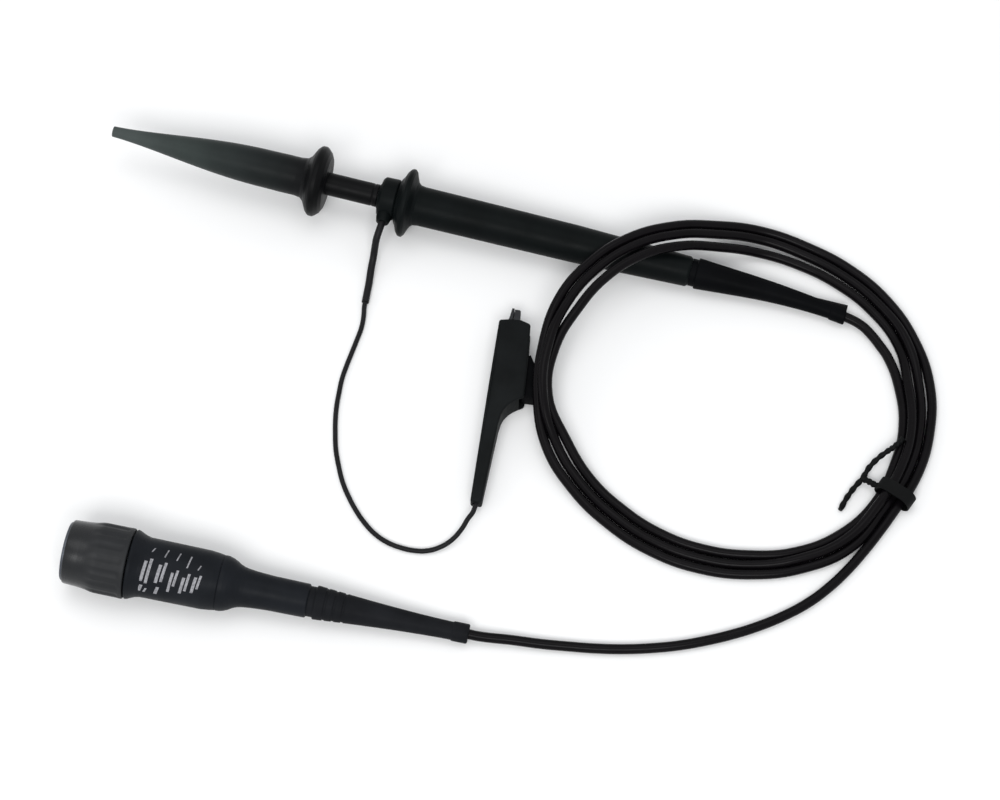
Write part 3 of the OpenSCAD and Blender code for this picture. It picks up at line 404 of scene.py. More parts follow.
def dress(obj, body, slot, replaced=()):
    """Gives an object the material of its slot and its body, and hides the solids that it stands for. No slot is ink.
    """
    obj.data.materials.clear()
    obj.data.materials.append(INK if slot is None else FINISHES[slot].material)
    if body:
        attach(obj, body)
    if replaced:
        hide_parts(*replaced)
    return obj


def applied(obj):
    """The object's mesh with its modifiers made real."""
    bpy.context.view_layer.update()
    evaluated = obj.evaluated_get(bpy.context.evaluated_depsgraph_get())
    mesh = bpy.data.meshes.new_from_object(evaluated)
    obj.modifiers.clear()
    old = obj.data
    obj.data = mesh
    bpy.data.meshes.remove(old)
    return obj


def combined(obj, others, operation="DIFFERENCE"):
    """Cuts the other objects out of this one, or joins them to it, and removes them."""
    for other in others:
        cut = obj.modifiers.new("cut", "BOOLEAN")
        cut.operation = operation
        cut.solver = "EXACT"
        cut.object = other
    applied(obj)
    for other in others:
        bpy.data.objects.remove(other)
    return obj


def bevelled(obj, width, segments):
    """Rounds the object's sharp edges, which meet at more than 25 degrees."""
    bevel = obj.modifiers.new("round", "BEVEL")
    bevel.width = width * MM
    bevel.segments = segments
    bevel.limit_method = "ANGLE"
    bevel.angle_limit = math.radians(25)
    bevel.use_clamp_overlap = True
    applied(obj)
    shade(obj.data)
    return obj


def rounded(corners, closed=False, steps=4):
    """A profile whose corners are [x, r] or [x, r, fillet], with the fillets drawn as arcs."""
    flat = [Vector(c[:2]) for c in corners]
    out = []
    count = len(flat)
    for i, corner in enumerate(corners):
        radius = corner[2] if len(corner) > 2 else 0
        if not radius or (not closed and i in (0, count - 1)):
            out.append(flat[i])
            continue
        here, before, after = flat[i], flat[i - 1], flat[(i + 1) % count]
        a, b = (before - here), (after - here)
        reach_a, reach_b = a.length, b.length
        a.normalize()
        b.normalize()
        half = math.acos(max(-1, min(1, a.dot(b)))) / 2
        if half < 0.02 or half > math.pi / 2 - 0.01:
            out.append(here)
            continue
        back = min(radius / math.tan(half), reach_a * 0.49, reach_b * 0.49)
        radius = back * math.tan(half)
        middle = here + (a + b).normalized() * (radius / math.sin(half))
        start, stop = here + a * back - middle, here + b * back - middle
        turn = math.atan2(start.x * stop.y - start.y * stop.x, start.dot(stop))
        for k in range(steps + 1):
            out.append(middle + Matrix.Rotation(turn * k / steps, 2) @ start)
    return out


def lathe_data(profile, closed=False, sides=96, shape=None):
    """Points and faces of a turned shape. shape(x, r, angle) may change a point's radius."""
    points, faces, rows = [], [], []
    for p in profile:
        if p[1] < 1e-6:
            rows.append([len(points)] * sides)
            points.append((p[0], 0, 0))
            continue
        rows.append(list(range(len(points), len(points) + sides)))
        for k in range(sides):
            angle = 2 * math.pi * k / sides
            r = shape(p[0], p[1], angle) if shape else p[1]
            points.append((p[0], r * math.cos(angle), r * math.sin(angle)))
    pairs = list(zip(rows, rows[1:] + rows[:1])) if closed else list(zip(rows, rows[1:]))
    for a, b in pairs:
        for k in range(sides):
            n = (k + 1) % sides
            face = [a[k], a[n], b[n], b[k]]
            face = [v for i, v in enumerate(face) if v != face[i - 1]]
            if len(face) > 2:
                faces.append(face)
    return points, faces


def lathe(name, corners, matrix, body, slot, replaced=(), sides=96, shape=None, angle=32, steps=4):
    """A turned piece from its closed profile."""
    points, faces = lathe_data(rounded(corners, True, steps), True, sides, shape)
    return piece(name, points, faces, matrix, body, slot, replaced, angle)


def turned(name, corners, moved, matrix, slot, sides=32):
    """A plain turned solid, to be cut out of a piece or joined to it. moved(x, y, z) puts its points in place."""
    points, faces = lathe_data(corners, False, sides)
    return piece(name, [moved(*p) for p in points], faces, matrix, None, slot)


def prism_data(outline, low, high):
    """Points and faces of an outline in x and y, from z low to z high, which may be functions of x."""
    n = len(outline)
    points = [
        (x, y, level(x) if callable(level) else level) for level in (low, high) for x, y in outline
    ]
    faces = [list(range(n))[::-1], list(range(n, 2 * n))]
    faces += [[i, (i + 1) % n, n + (i + 1) % n, n + i] for i in range(n)]
    return points, faces


def prism(name, outline, low, high, matrix, body, slot, replaced=()):
    return piece(name, *prism_data(outline, low, high), matrix, body, slot, replaced)


def smooth_route(points, per=6):
    """A finer route through the same points, on centripetal Catmull-Rom curves."""
    pts = [Vector(p) for p in points]
    ends = [2 * pts[0] - pts[1]] + pts + [2 * pts[-1] - pts[-2]]
    out = []
    for i in range(1, len(ends) - 2):
        p0, p1, p2, p3 = ends[i - 1 : i + 3]
        t0 = 0.0
        t1 = t0 + max((p1 - p0).length, 1e-6) ** 0.5
        t2 = t1 + max((p2 - p1).length, 1e-6) ** 0.5
        t3 = t2 + max((p3 - p2).length, 1e-6) ** 0.5
        for k in range(per):
            t = t1 + (t2 - t1) * k / per
            a1 = (t1 - t) / (t1 - t0) * p0 + (t - t0) / (t1 - t0) * p1
            a2 = (t2 - t) / (t2 - t1) * p1 + (t - t1) / (t2 - t1) * p2
            a3 = (t3 - t) / (t3 - t2) * p2 + (t - t2) / (t3 - t2) * p3
            b1 = (t2 - t) / (t2 - t0) * a1 + (t - t0) / (t2 - t0) * a2
            b2 = (t3 - t) / (t3 - t1) * a2 + (t - t1) / (t3 - t1) * a3
            out.append((t2 - t) / (t2 - t1) * b1 + (t - t1) / (t2 - t1) * b2)
    return out + [pts[-1]]


def tube_data(route, section):
    """Points and faces of a closed tube along a route, without twist. section(i, angle) gives a radius."""
    route = [Vector(p) for p in route]
    sides = 20
    side = None
    points, faces = [], []
    for i, p in enumerate(route):
        way = (route[min(i + 1, len(route) - 1)] - route[max(i - 1, 0)]).normalized()
        if side is None:
            side = way.cross(Vector((0, 0, 1))).normalized()
        side = (side - way * side.dot(way)).normalized()
        up = side.cross(way)
        for k in range(sides):
            angle = 2 * math.pi * k / sides
            r = section(i, angle)
            points.append(p + r * (math.cos(angle) * side + math.sin(angle) * up))
    for i in range(len(route) - 1):
        for k in range(sides):
            a, n = i * sides + k, i * sides + (k + 1) % sides
            faces.append([a, n, n + sides, a + sides])
    last = (len(route) - 1) * sides
    faces += [list(range(sides))[::-1], list(range(last, last + sides))]
    return points, faces


def cord_curve(name, points, diameter, body, slot, replaced):
    """A cord's curve: one open spline through its route, given in row millimetres."""
    data = bpy.data.curves.new(name, "CURVE")
    data.dimensions = "3D"
    data.bevel_depth = diameter / 2 * MM
    data.bevel_resolution = 8
    data.resolution_u = 6
    data.use_fill_caps = True
    data.twist_mode = "MINIMUM"
    spline = data.splines.new("BEZIER")
    spline.bezier_points.add(len(points) - 1)
    for at, point in zip(spline.bezier_points, points):
        at.co = Vector(point) * MM
        at.handle_left_type = at.handle_right_type = "AUTO"
    obj = bpy.data.objects.new(name, data)
    bpy.context.scene.collection.objects.link(obj)
    return dress(obj, body, slot, replaced)


# ---- Cords ----

COIL_CENTRE = Vector((71.2, -29.5, 0))
COIL_FROM = 17.4  # angle where the coil begins, in degrees
COIL_STEP = 15
COIL_STEPS = 76
TIE_ANGLE = 338.4


def ease(s):
    """Falls smoothly from one at 0 to zero at 1."""
    return 1.0 if s <= 0 else 0.0 if s >= 1 else (1 + math.cos(math.pi * s)) / 2


def coil_z(a):
    """Height of the coil at an angle: it climbs over the handle, and the tie lifts it a little."""
    a %= 360
    crossing = ease(max((136 - a) / 55, (a - 157.4) / 85))
    tie = ease((abs((a - TIE_ANGLE + 180) % 360 - 180) - 10) / 25)
    return CABLE / 2 + 10.8 * crossing + 0.45 * tie


# The hand-wound turns lie side by side where there is room, and pile up where the bundle is slim.
# Radii of the turns at each step, from the one that comes from the head to the outermost
TURNS = [
    [40.95, 43.1, 45.9, 48.6], [42.2, 44.1, 46.25, 48.7], [43.0, 44.8, 46.6, 49.0], [44.3, 45.5, 46.8, 49.2],
    [44.7, 46.8, 48.9], [44.0, 46.25, 48.5], [42.65, 45.2, 47.7], [41.8, 44.4, 47.0], [41.2, 43.8, 46.4],
    [40.9, 43.5, 46.1], [41.6, 44.15, 46.7], [42.65, 45.25, 47.8], [44.9, 46.2, 47.4], [43.9, 45.45, 46.95],
    [41.7, 44.7, 47.1], [40.7, 43.9, 46.4], [39.6, 42.9, 45.4], [38.6, 42.0, 44.5], [38.8, 42.5, 45.0],
    [40.1, 43.9, 46.4], [40.6, 43.8, 46.3], [41.3, 44.2, 46.7], [42.5, 45.0, 47.4], [43.6, 45.8, 48.0],
]


def coil_point(step):
    """The coil's middle after a number of steps from the head's end."""
    turn, place = divmod(step, len(TURNS))
    radii = TURNS[place]
    angle = COIL_FROM - COIL_STEP * step
    r, z = radii[turn], coil_z(angle)
    if turn == 1:
        near = min(radii[1] - radii[0], radii[2] - radii[1])
        z += math.sqrt(max(0, (CABLE + 0.02) ** 2 - near**2))
    angle = math.radians(angle)
    return COIL_CENTRE + Vector((r * math.cos(angle), r * math.sin(angle), z))



def boot_bend(x):
    """How far the front boot's slim end is bent towards the coil, in the head's own frame."""
    return -0.0029 * max(0, x - 162) ** 2


head_end = on(HEAD, HEAD_LENGTH, boot_bend(HEAD_LENGTH), 0)
plug_end = on(PLUG, PLUG_LENGTH, 0, 0)

cable_points = (
    [
        on(HEAD, 184.5, boot_bend(184.5), 0),
        head_end,
        (98.24, -3.2, 1.9),
        (101.1, -4.95, 1.45),
        (103.7, -7.3, 1.25),
        (106.3, -10.1, 1.2),
    ]
    + [coil_point(step) for step in range(COIL_STEPS)]
    + [
        (113.2, -56.3, 1.5), (110.4, -62.6, 1.3), (107.4, -68.5, 1.2), (103.9, -74.1, 1.2), (99.9, -79.1, 1.2),
        (95.1, -83.6, 1.2), (90, -87.5, 1.2), (84.5, -91, 1.2), (78.7, -94.1, 1.2), (72.8, -96.8, 1.2),
        (66.7, -99, 1.2), (60.5, -100.8, 1.2), (54.1, -102.2, 1.2), (47.6, -103.3, 1.3), (41.2, -104.3, 1.5),
        (34.8, -105.1, 1.9),
        plug_end + CABLE * PLUG_WAY,
        plug_end,
    ]
    + [on(PLUG, t, 0, 0) for t in (90, 78, 66, 52, 37.9)]
)
cable = cord_curve(
    "coaxial_cable", cable_points, CABLE, "probe", "cable_jacket",
    ("cable_lead", "cable_coil", "cable_tail", "rear_coax"),
)

boss_end = on(HEAD, 71.5, 0, 0) + Vector((0, -7.2, 0))
sleeve_exit = Vector((-22.2, -25.8, 0.9))
sleeve_way = (sleeve_exit - Vector((-22.4, -23.5, 0.9))).normalized()
sleeve_points = [
    boss_end + Vector((0, 1, 0)),
    boss_end - Vector((0.1, 1.8, 0)),
    (-23.0, -11.2, 7.2), (-23.15, -12.4, 5), (-23.15, -14, 3.1), (-23.1, -16.7, 1.6), (-22.7, -20.3, 0.9),
    sleeve_exit - 1.8 * sleeve_way,
    sleeve_exit,
]
tail_mouth = on(CLIP, CLIP_LENGTH, 1.1, CLIP_MIDDLE)
lead_points = sleeve_points + [
    sleeve_exit + LEAD * sleeve_way,
    (-21.6, -29.5, 0.7), (-21.3, -32.8, 0.6), (-21.5, -36.4, 0.6), (-21.8, -40.3, 0.6),
    (-22.1, -44.2, 0.6), (-22.2, -47.9, 0.6), (-21.9, -51.6, 0.6), (-21.5, -55.3, 0.6),
    (-20.8, -58.9, 0.6), (-19.8, -62.7, 0.6), (-18.5, -66.8, 0.6), (-16.8, -70.6, 0.6),
    (-14.7, -74.6, 0.6), (-12.2, -78.1, 0.6), (-9.5, -81.2, 0.6), (-6.7, -83.8, 0.6),
    (-3.7, -85.9, 0.6), (-0.4, -87.3, 0.6), (3, -87.9, 0.6), (6.4, -87.9, 0.6),
    (9.4, -87.3, 0.7), (12.1, -85.9, 1), (14.4, -83.8, 1.5), (16.2, -80.8, 2.3),
    (17.2, -77.9, 3.1),
    tail_mouth + 1.5 * LEAD * CLIP_WAY,
    on(CLIP, 40, 1.3, CLIP_MIDDLE),
]
lead = cord_curve("ground_lead_cord", lead_points, LEAD, "probe", "lead_jacket", ("ground_lead",))


# ---- Hook tip ----

ogive = [
    [x, 1.35 + 3.4 * math.sin(math.radians(90 * x / 40)) ** 1.5] for x in range(1, 41)
]
lathe(
    "hook_tip_sleeve",
    [[0, 0.75], [0, 1.35, 0.2]]
    + ogive
    + [
        [44.5, 4.82], [48, 4.8, 2], [49.6, 5.05, 0.8], [50.5, 5.85, 0.6], [51.2, 7.2, 0.6], [51.7, 8.1, 0.4],
        [52.3, 8.7, 0.25], [52.7, 8.9, 0.2], [53.5, 8.9, 0.2], [54.0, 8.6, 0.3], [54.9, 7.75, 0.3], [55.5, 6.6, 0.2],
        [55.6, 4.8, 0.3], [55.6, 2.85, 0.15], [48.6, 2.85], [48.6, 3.35], [29.2, 3.35], [29.2, 1.3], [9, 1.3],
        [9, 0.75],
    ],
    HEAD, "sleeve", "tip_plastic", ("hook_sleeve",), sides=128, steps=6,
)
lathe(
    "hook_carrier_shaft",
    [
        [41.1, 0.96], [41.1, 1.6, 0.15], [45.5, 1.6], [45.5, 3.25, 0.2], [48.5, 3.25, 0.2],
        [48.5, 2.85], [67.1, 2.85, 0.3], [67.4, 2.72], [67.7, 2.85, 0.1], [68.7, 2.85, 0.2],
        [68.7, 1.8], [47.5, 1.8], [47.5, 0.96],
    ],
    HEAD, "hook_tip", "tip_plastic", ("hook_carrier",), sides=80,
)

HOOK_R = 0.38  # radius of the hook's bend
hook_route = [(x, 0, -HOOK_R) for x in (42.3, 20, 1.2)]
hook_route += [
    (1.2 - HOOK_R * math.sin(math.radians(a)), 0, -HOOK_R * math.cos(math.radians(a)))
    for a in range(15, 180, 15)
]
hook_route += [(x, 0, HOOK_R) for x in (1.2, 2.3, 2.52, 2.6)]
wire_radii = [0.28] * (len(hook_route) - 2) + [0.22, 0.1]
piece(
    "hook_wire_bent", *tube_data(hook_route, lambda i, angle: wire_radii[i]), HEAD, "hook_tip", "brass", ("hook_wire",)
)


# ---- Ground collar, handle and boot ----

collar = lathe(
    "ground_lead_collar",
    [
        [68.8, BARREL_BORE], [68.8, 3.1, 0.12], [69.2, 3.3], [69.2, 4.5, 0.4], [69.8, 5.1, 0.4], [73.2, 5.2, 0.4],
        [73.7, 4.7, 0.2], [73.7, BARREL_BORE], [72.83, BARREL_BORE], [72.83, 3.19], [69.97, 3.19],
        [69.97, BARREL_BORE],
    ],
    HEAD, "probe", "handle_plastic", ("ground_collar",),
)
boss_profile = rounded([[0, 0], [0, 1.9], [2.9, 1.9], [3.5, 1.75, 0.5], [4.4, 1.55, 0.4], [4.4, 0]], False)
boss = turned(
    "lead_boss", boss_profile, lambda x, y, z: (71.5 - y, -2.8 - x, z), HEAD, "handle_plastic", sides=48
)
combined(collar, [boss], "UNION")
shade(collar.data)

lathe(
    "probe_handle",
    [
        [73.7, BARREL_BORE], [73.7, 5.4, 0.3], [74.3, 6.3, 0.3], [74.9, 7.7, 0.3], [75.5, 8.45, 0.2], [75.9, 8.62, 0.2],
        [76.4, 8.62, 0.2], [76.9, 8.1, 0.3], [77.4, 6.8, 0.4], [77.9, 5.7, 0.4], [78.6, 5.1, 0.5], [79.8, 4.93, 1.0],
        [96, 4.85], [118.7, 4.7], [132, 4.32], [146.3, 3.85], [147.9, 3.8, 0.5], [148.5, 3.4, 0.2], [148.5, 2.98],
        [140.8, 2.98], [140.8, 3.4], [80.5, 3.4], [80.5, BARREL_BORE],
    ],
    HEAD, "probe", "handle_plastic", ("handle",), sides=128, steps=6,
)


def boot_corners(plug_r, plug_front, groove_front, body_r, end_r, ring_r, end, power, ribs=()):
    """A strain relief's profile: plug, groove, hollow taper, ribs cut into it, and the ring at its end."""
    body_front = groove_front + 1.6
    ring_front = end - 4
    taper_front = body_front + 0.3
    taper = ring_front - taper_front

    def body(x):
        return end_r + (body_r - end_r) * (1 - (x - taper_front) / taper) ** power

    corners = [
        [plug_front, COAX_BORE], [plug_front, plug_r, 0.3], [groove_front + 0.05, plug_r],
        [groove_front + 0.05, body_r - 0.45], [body_front - 0.1, body_r - 0.45, 0.15],
        [body_front, body_r, 0.3],
    ]
    stations = [taper_front + taper * i / 28 for i in range(1, 29)]
    for rib in ribs:
        stations = [x for x in stations if not rib - 0.3 < x < rib + 1.0]
    for x in sorted([*stations, *ribs]):
        if x in ribs:
            low = body(x) - 0.2
            corners += [[x, body(x), 0.1], [x + 0.12, low, 0.1], [x + 0.58, low, 0.1], [x + 0.7, body(x + 0.7), 0.1]]
        else:
            corners.append([x, body(x)])
    corners += [[ring_front + 0.3, ring_r, 0.2], [end, ring_r, 0.4], [end, COAX_BORE]]
    return corners


boot_points, boot_faces = lathe_data(
    rounded(boot_corners(2.95, 140.8, 148.5, 3.88, 1.9, 2.1, HEAD_LENGTH, 1.3), True), True, 80
)
front_boot = piece(
    "cable_boot_front", [(x, y + boot_bend(x), z) for x, y, z in boot_points], boot_faces,
    HEAD, "probe", "boot_rubber", ("front_boot",),
)
front_boot.data.materials[0] = FINISHES["boot_black_and_painted_shade"].material

thick_sleeve = piece(
    "ground_lead_sleeve",
    *tube_data(smooth_route(sleeve_points, 6), lambda i, angle: 0.9),
    ROW, "probe", "lead_jacket", ("lead_sleeve",),
)


# ---- Alligator clip ----

cover_outline = [
    (0, 0), (20, 0), (34, 0), (CLIP_LENGTH, 0), (CLIP_LENGTH, 2.8), (36, 3.4), (28, 3.8), (25.6, 4.1),
    (24.1, 4.6), (22.8, 5.4), (21.8, 6.4), (20.9, 7.6), (20.1, 9), (10.8, 8.6), (0.2, 7.8), (-0.6, 5.4), (-0.5, 2.6),
]


def half_thickness(x):
    """Half of the housing's thickness, which thins out from its body to its tail."""
    return 3.5 if x < 20 else 3.5 - 1.7 * (x - 20) / 28.7


cover = prism(
    "clip_housing", cover_outline, lambda x: CLIP_MIDDLE - half_thickness(x), lambda x: CLIP_MIDDLE + half_thickness(x),
    CLIP, "probe", "clip_plastic", ("clip_cover",),
)
bevelled(cover, 0.55, 4)
hollow = prism(
    "clip_hollow", [(-1, 0.9), (22.5, 0.9), (22.5, 3), (20.8, 4.6), (20.8, 12), (-1, 12)], 0.9, 6.1,
    CLIP, None, "clip_plastic",
)
slot_cut = prism("clip_slot", [(20, 0.9), (30, 0.9), (30, 1.5), (20, 1.5)], 1.5, 5.5, CLIP, None, "clip_plastic")
bore = turned(
    "clip_bore", [(36, 0), (36, 0.62), (49.7, 0.62), (49.7, 0)],
    lambda x, y, z: (x, y + 1.1 + (49 - x) * 0.02, z + CLIP_MIDDLE), CLIP, "clip_plastic",
)
crimp_hole = turned(
    "clip_crimp_hole", [(30, 0), (30, 1.23), (36.01, 1.23), (36.01, 0)],
    lambda x, y, z: (x, y + 1.45, z + CLIP_MIDDLE), CLIP, "clip_plastic",
)
combined(cover, [hollow, slot_cut, bore, crimp_hole])
shade(cover.data)

lever_outline = [
    (8, 8.9), (12, 11.1), (17, 11.8), (19.2, 12.1), (19.5, 11.8), (19.5, 8.2), (19.2, 7.9), (15.8, 7.3),
    (15.6, 8.3), (12.6, 7.2), (9.6, 7.4),
]
lever = prism("clip_thumb_lever", lever_outline, 1.3, 5.7, CLIP, "clip_jaw", "clip_plastic", ("clip_lever",))
# The lever takes the darker black finish as painted shade, for the shadow it lies in under the coil.
lever.data.materials[0] = FINISHES["boot_black_and_painted_shade"].material
bevelled(lever, 0.35, 3)


def teeth(strip, low, high):
    """The strip's bite with teeth, between its points number low and high, which face the other jaw."""
    a, b = Vector(strip[low]), Vector(strip[high])
    depth = Vector((0, 0.12 if strip[low][1] > 3.25 else -0.12))
    row = [a.lerp(b, i / 6) + (depth if i % 2 else Vector((0, 0))) for i in range(7)]
    return strip[:low] + [tuple(v) for v in row] + strip[high + 1:]


CLIP_PIN = (12.5, 4.6)  # where the hinge pin stands
SHEET = 0.5  # thickness of the jaws' sheet metal


def clip_jaw(name, strip, ear, width, body, replaced):
    """A jaw of sheet metal: its strip, and two ears that hold the pin."""
    low, high = CLIP_MIDDLE - width / 2, CLIP_MIDDLE + width / 2
    jaw = prism(name, strip, low, high, CLIP, body, "clip_steel", (replaced,))
    ears = [
        prism(name + "_ear", ear, side, side + SHEET, CLIP, None, "clip_steel") for side in (low, high - SHEET)
    ]
    combined(jaw, ears, "UNION")
    hole = turned(
        name + "_hole", [(-1, 0), (-1, 0.85), (8, 0.85), (8, 0)],
        lambda x, y, z: (CLIP_PIN[0] + y, CLIP_PIN[1] + z, x), CLIP, "clip_steel",
    )
    combined(jaw, [hole])
    shade(jaw.data)
    return jaw


fixed_jaw = clip_jaw(
    "clip_jaw_lower",
    teeth([
        (-4.2, 2.65), (-1.4, 2.3), (0.5, 1.5), (4, 0.9), (30, 0.9), (30, 1.5), (4.2, 1.5), (0.4, 2.2), (-1.6, 3.22),
        (-4.2, 3.22),
    ], 8, 9),
    [(8, 1.2), (17, 1.2), (14.5, 6.2), (10.5, 6.2)], 4, "probe", "clip_jaw_fixed",
)
moving_jaw = clip_jaw(
    "clip_jaw_upper",
    teeth([
        (-4.3, 3.28), (-1.6, 3.28), (0.4, 4.4), (4.2, 5.3), (10, 6.6), (13, 8), (18.6, 9.6), (18.4, 10.2), (12.7, 8.6),
        (9.8, 7.2), (4, 5.9), (-1, 5.0), (-4, 4.8), (-4.3, 4.5),
    ], 0, 1),
    [(9, 6.6), (15.5, 8.9), (14.3, 3.3), (10.7, 3.3)], 2.6, "clip_jaw", "clip_jaw_moving",
)


# ---- Twist tie ----


def twisted(r, turns):
    """Section of two wires twisted together."""
    return lambda i, angle: r * (0.86 + 0.14 * math.cos(2 * (angle - turns * i)))


def strap_data(inner, outer, z, hole_r, wall, width, angle):
    """A band around the bundle, square to it: a stadium's outline with rounded ends."""
    way = Vector((math.cos(math.radians(angle)), math.sin(math.radians(angle)), 0))
    along = Vector((-way.y, way.x, 0))
    ring = []
    for start, middle in ((90, inner), (270, outer)):
        for k in range(0, 13):
            a = math.radians(start + 15 * k)
            ring.append((middle, Vector((math.cos(a), math.sin(a)))))
    points, faces = [], []
    for offset in (-width / 2, width / 2):
        for reach in (hole_r, hole_r + wall):
            for middle, d in ring:
                outwards = (middle + reach * d.x) * way
                points.append(COIL_CENTRE + outwards + Vector((0, 0, z + reach * d.y)) + offset * along)
    n = len(ring)
    for i in range(n):
        k = (i + 1) % n
        faces += [
            [i, k, n + k, n + i], [2 * n + i, 3 * n + i, 3 * n + k, 2 * n + k],
            [n + i, n + k, 3 * n + k, 3 * n + i], [i, 2 * n + i, 2 * n + k, k],
        ]
    return points, faces


TIE = [
    (113.9, -32.3, 3.9), (113.1, -33.5, 3.6), (112.0, -35.0, 3.3), (110.9, -36.1, 2.9), (109.0, -38.3, 2.4),
    (107.4, -41.0, 1.9), (106.4, -44.0, 1.6), (104.9, -46.9, 1.3), (103.7, -49.8, 1.0), (102.8, -53.1, 0.7),
]
TIE_ROOT = [(106.2, -44.3, 1.8), (107.4, -44.6, 2.1), (108.6, -45.1, 2.4), (109.8, -45.7, 2.8), (111.2, -46.0, 3.3)]
piece(
    "wire_tie", *strap_data(44.6, 49.1, 2.65, 2.25, 0.35, 3.3, TIE_ANGLE), ROW, "probe", "tie_plastic", ("twist_tie",)
)
piece(
    "wire_tie_ends", *tube_data(smooth_route(TIE, 8), twisted(0.75, 0.55)), ROW, "probe", "tie_plastic"
)
piece(
    "wire_tie_root", *tube_data(smooth_route(TIE_ROOT, 6), twisted(0.85, 0.6)), ROW, "probe", "tie_plastic"
)


# ---- BNC plug ----

nut = lathe(
    "bayonet_nut",
    [
        [0, NUT_BORE, 0.25], [0, 7, 0.35], [14.6, 7, 0.2], [14.6, 4.05], [13.1, 4.05], [13.1, NUT_BORE],
    ],
    PLUG, "nut", "nut_metal", ("bnc_nut",),
)
GROOVE_R = 1.1  # half the width of a bayonet groove and of its entry


def about_axis(points, angle):
    """The points turned about the X axis."""
    c, s = math.cos(angle), math.sin(angle)
    return [(x, y * c - z * s, y * s + z * c) for x, y, z in points]


cuts = []
for entry in (0, math.pi):
    angles = [math.radians(90 - 80 * i / 12) for i in range(-1, 13)]
    groove = [
        (3 + 4 * i / 12, NUT_BORE * math.cos(a), NUT_BORE * math.sin(a)) for i, a in enumerate(angles, -1)
    ]
    points, faces = tube_data(about_axis(groove, entry), lambda i, angle: GROOVE_R)
    cuts.append(piece("groove", points, faces, PLUG, None, "nut_metal"))
    points, faces = prism_data([(-1, -GROOVE_R), (3, -GROOVE_R), (3, GROOVE_R), (-1, GROOVE_R)], 0, 6)
    cuts.append(piece("entry", about_axis(points, entry), faces, PLUG, None, "nut_metal"))
combined(nut, cuts)
shade(nut.data, 30)

FLUTES = 16
FLUTE_DEPTH = 0.22
FLUTE_R = 2.0  # radius of a flute's own round bottom


def fluted(x, r, angle):
    """The grip's radius with its flutes, which fade out towards both ends."""
    if r < 7.4:  # the bore
        return r
    a = (angle * FLUTES / (2 * math.pi)) % 1
    across = (a if a < 0.5 else a - 1) / FLUTES * 2 * math.pi * r
    fade = min(1, max(0, (x - 5.6) / 3), max(0, (14.4 - x) / 0.8))
    depth = FLUTE_DEPTH - (FLUTE_R - math.sqrt(FLUTE_R**2 - across**2)) if abs(across) < 1 else 0
    return r - max(0, depth) * ease(1 - fade)


grip = lathe(
    "bayonet_grip",
    [
        [0.6, 7.03], [0.6, 7.45, 0.3], [1.1, 7.58], [3.8, 7.72, 1.0], [4.8, 7.82], [5.2, 7.87], [5.7, 7.93],
        [6.2, 8.02], [7, 8.2, 1.0], [7.6, 8.33], [8.1, 8.38], [8.7, 8.42], [11, 8.42], [13.5, 8.42], [13.8, 8.42],
        [14.1, 8.42], [14.4, 8.42], [15.2, 8.4, 0.4], [15.2, 7.6], [15.2, 4.1], [14.65, 4.1], [14.65, 7.03],
    ],
    PLUG, "nut", "grip_plastic", ("nut_grip",), sides=256, shape=fluted, steps=6, angle=40,
)

box_shell = lathe(
    "compensation_box_shell",
    [
        [15.5, 4.03], [15.5, 8.05, 0.25], [15.8, 8.3, 0.2], [16.3, 8.15, 0.3], [17, 7.8, 0.5], [18, 7.38, 0.8],
        [19.1, 7.12, 0.8], [33.5, 7.02, 1.5], [35.6, 6.8, 1], [36.8, 6.6, 0.1], [36.9, 6.5], [36.9, 5.9], [16.6, 5.9],
        [16.6, 4.03],
    ],
    PLUG, "probe", "box_plastic", ("box_shell",), sides=128,
)
trimmer_hole = turned(
    "trimmer_hole", [(3, 0), (3, 1.4), (9, 1.4), (9, 0)], lambda x, y, z: (28 + y, x, z),
    PLUG, "box_plastic", sides=40,
)
combined(box_shell, [trimmer_hole])
shade(box_shell.data)

box_tail = lathe(
    "compensation_box_tail",
    [
        [33.9, 4.9], [33.9, 5.87, 0.15], [36.9, 5.87], [36.92, 6.45], [37.1, 6.62, 0.15], [38, 6.57, 0.6],
        [39, 6.3, 0.8], [40, 5.85, 0.8], [41, 5.24, 0.8], [42, 4.84, 0.8], [43, 4.62, 0.8], [45, 4.38, 1.2],
        [48.9, 4.14, 2], [57.8, 4.03, 0.3], [58.1, 3.7, 0.2], [58.1, 2.63], [49, 2.63], [49, COAX_BORE],
        [46.4, COAX_BORE], [46.4, 2.38], [36.9, 2.38], [36.9, 4.9],
    ],
    PLUG, "probe", "box_plastic", ("box_tail",), sides=128,
)

core_wire = piece(
    "coax_core", *tube_data([(33.6, 0, 0), (36, 0, 0), (37.95, 0, 0)], lambda i, angle: 0.25), PLUG, "probe", "brass"
)


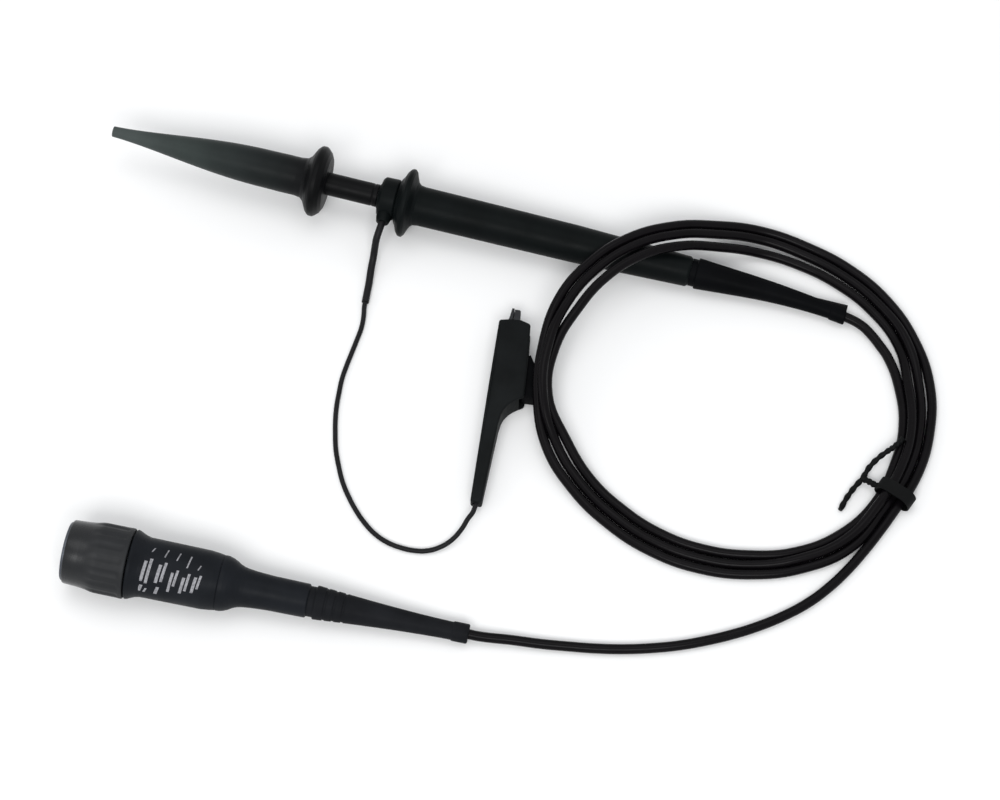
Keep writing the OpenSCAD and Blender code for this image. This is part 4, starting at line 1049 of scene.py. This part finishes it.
def dash(t, start, stop, width):
    """One printed dash on the box: a patch on its shell, from one angle to another, a little slanted."""
    steps = 8
    points, faces = [], []
    for k in range(steps + 1):
        angle = math.radians(start + (stop - start) * k / steps)
        middle = t + 0.25 - 0.5 * k / steps
        for side in (-width / 2, width / 2):
            x = middle + side
            r = 7.15 - 0.0065 * max(0, x - 19)
            points.append((x, r * math.cos(angle), r * math.sin(angle)))
    for k in range(steps):
        faces.append([2 * k, 2 * k + 1, 2 * k + 3, 2 * k + 2])
    return points, faces


# Printed marks, only as rows of dashes: [place along the box, from angle, to angle, width]
DASHES = [
    (19.5, 100, 140, 0.75), (20.7, 94, 143, 0.7), (19.3, 148, 164, 0.8), (20.5, 154, 165, 0.5), (23.0, 102, 138, 0.75),
    (24.2, 96, 134, 0.65), (23.2, 146, 164, 0.75), (26.1, 112, 152, 0.65), (27.2, 106, 138, 0.6), (28.9, 117, 150, 0.7),
    (30.0, 108, 143, 0.6), (31.6, 112, 144, 0.7), (32.7, 107, 134, 0.55), (20.8, 70, 80, 0.3), (24.0, 68, 86, 0.3),
    (26.9, 70, 88, 0.3), (29.6, 72, 98, 0.35), (32.2, 88, 98, 0.3),
]
points, faces = [], []
for row in DASHES:
    more, patches = dash(*row)
    faces += [[v + len(points) for v in face] for face in patches]
    points += more
box_marks = piece("box_marks", points, faces, PLUG, "probe", None)

rear_boot = lathe(
    "cable_boot_rear", boot_corners(2.6, 49.1, 58.1, 4.05, 2.15, 2.35, PLUG_LENGTH, 1.5, ribs=(61.9, 64.1, 66.3)),
    PLUG, "probe", "boot_rubber", ("rear_boot",), sides=80,
)


# ---- Floor ----

floor_mesh = bpy.data.meshes.new("floor")
floor_z = -0.00005
floor_mesh.from_pydata(
    [(x, y, floor_z) for x, y in ((-3, -3), (3, -3), (3, 3), (-3, 3))], [], [[0, 1, 2, 3]]
)
floor = bpy.data.objects.new("floor", floor_mesh)
bpy.context.scene.collection.objects.link(floor)
floor.data.materials.append(FLOOR)
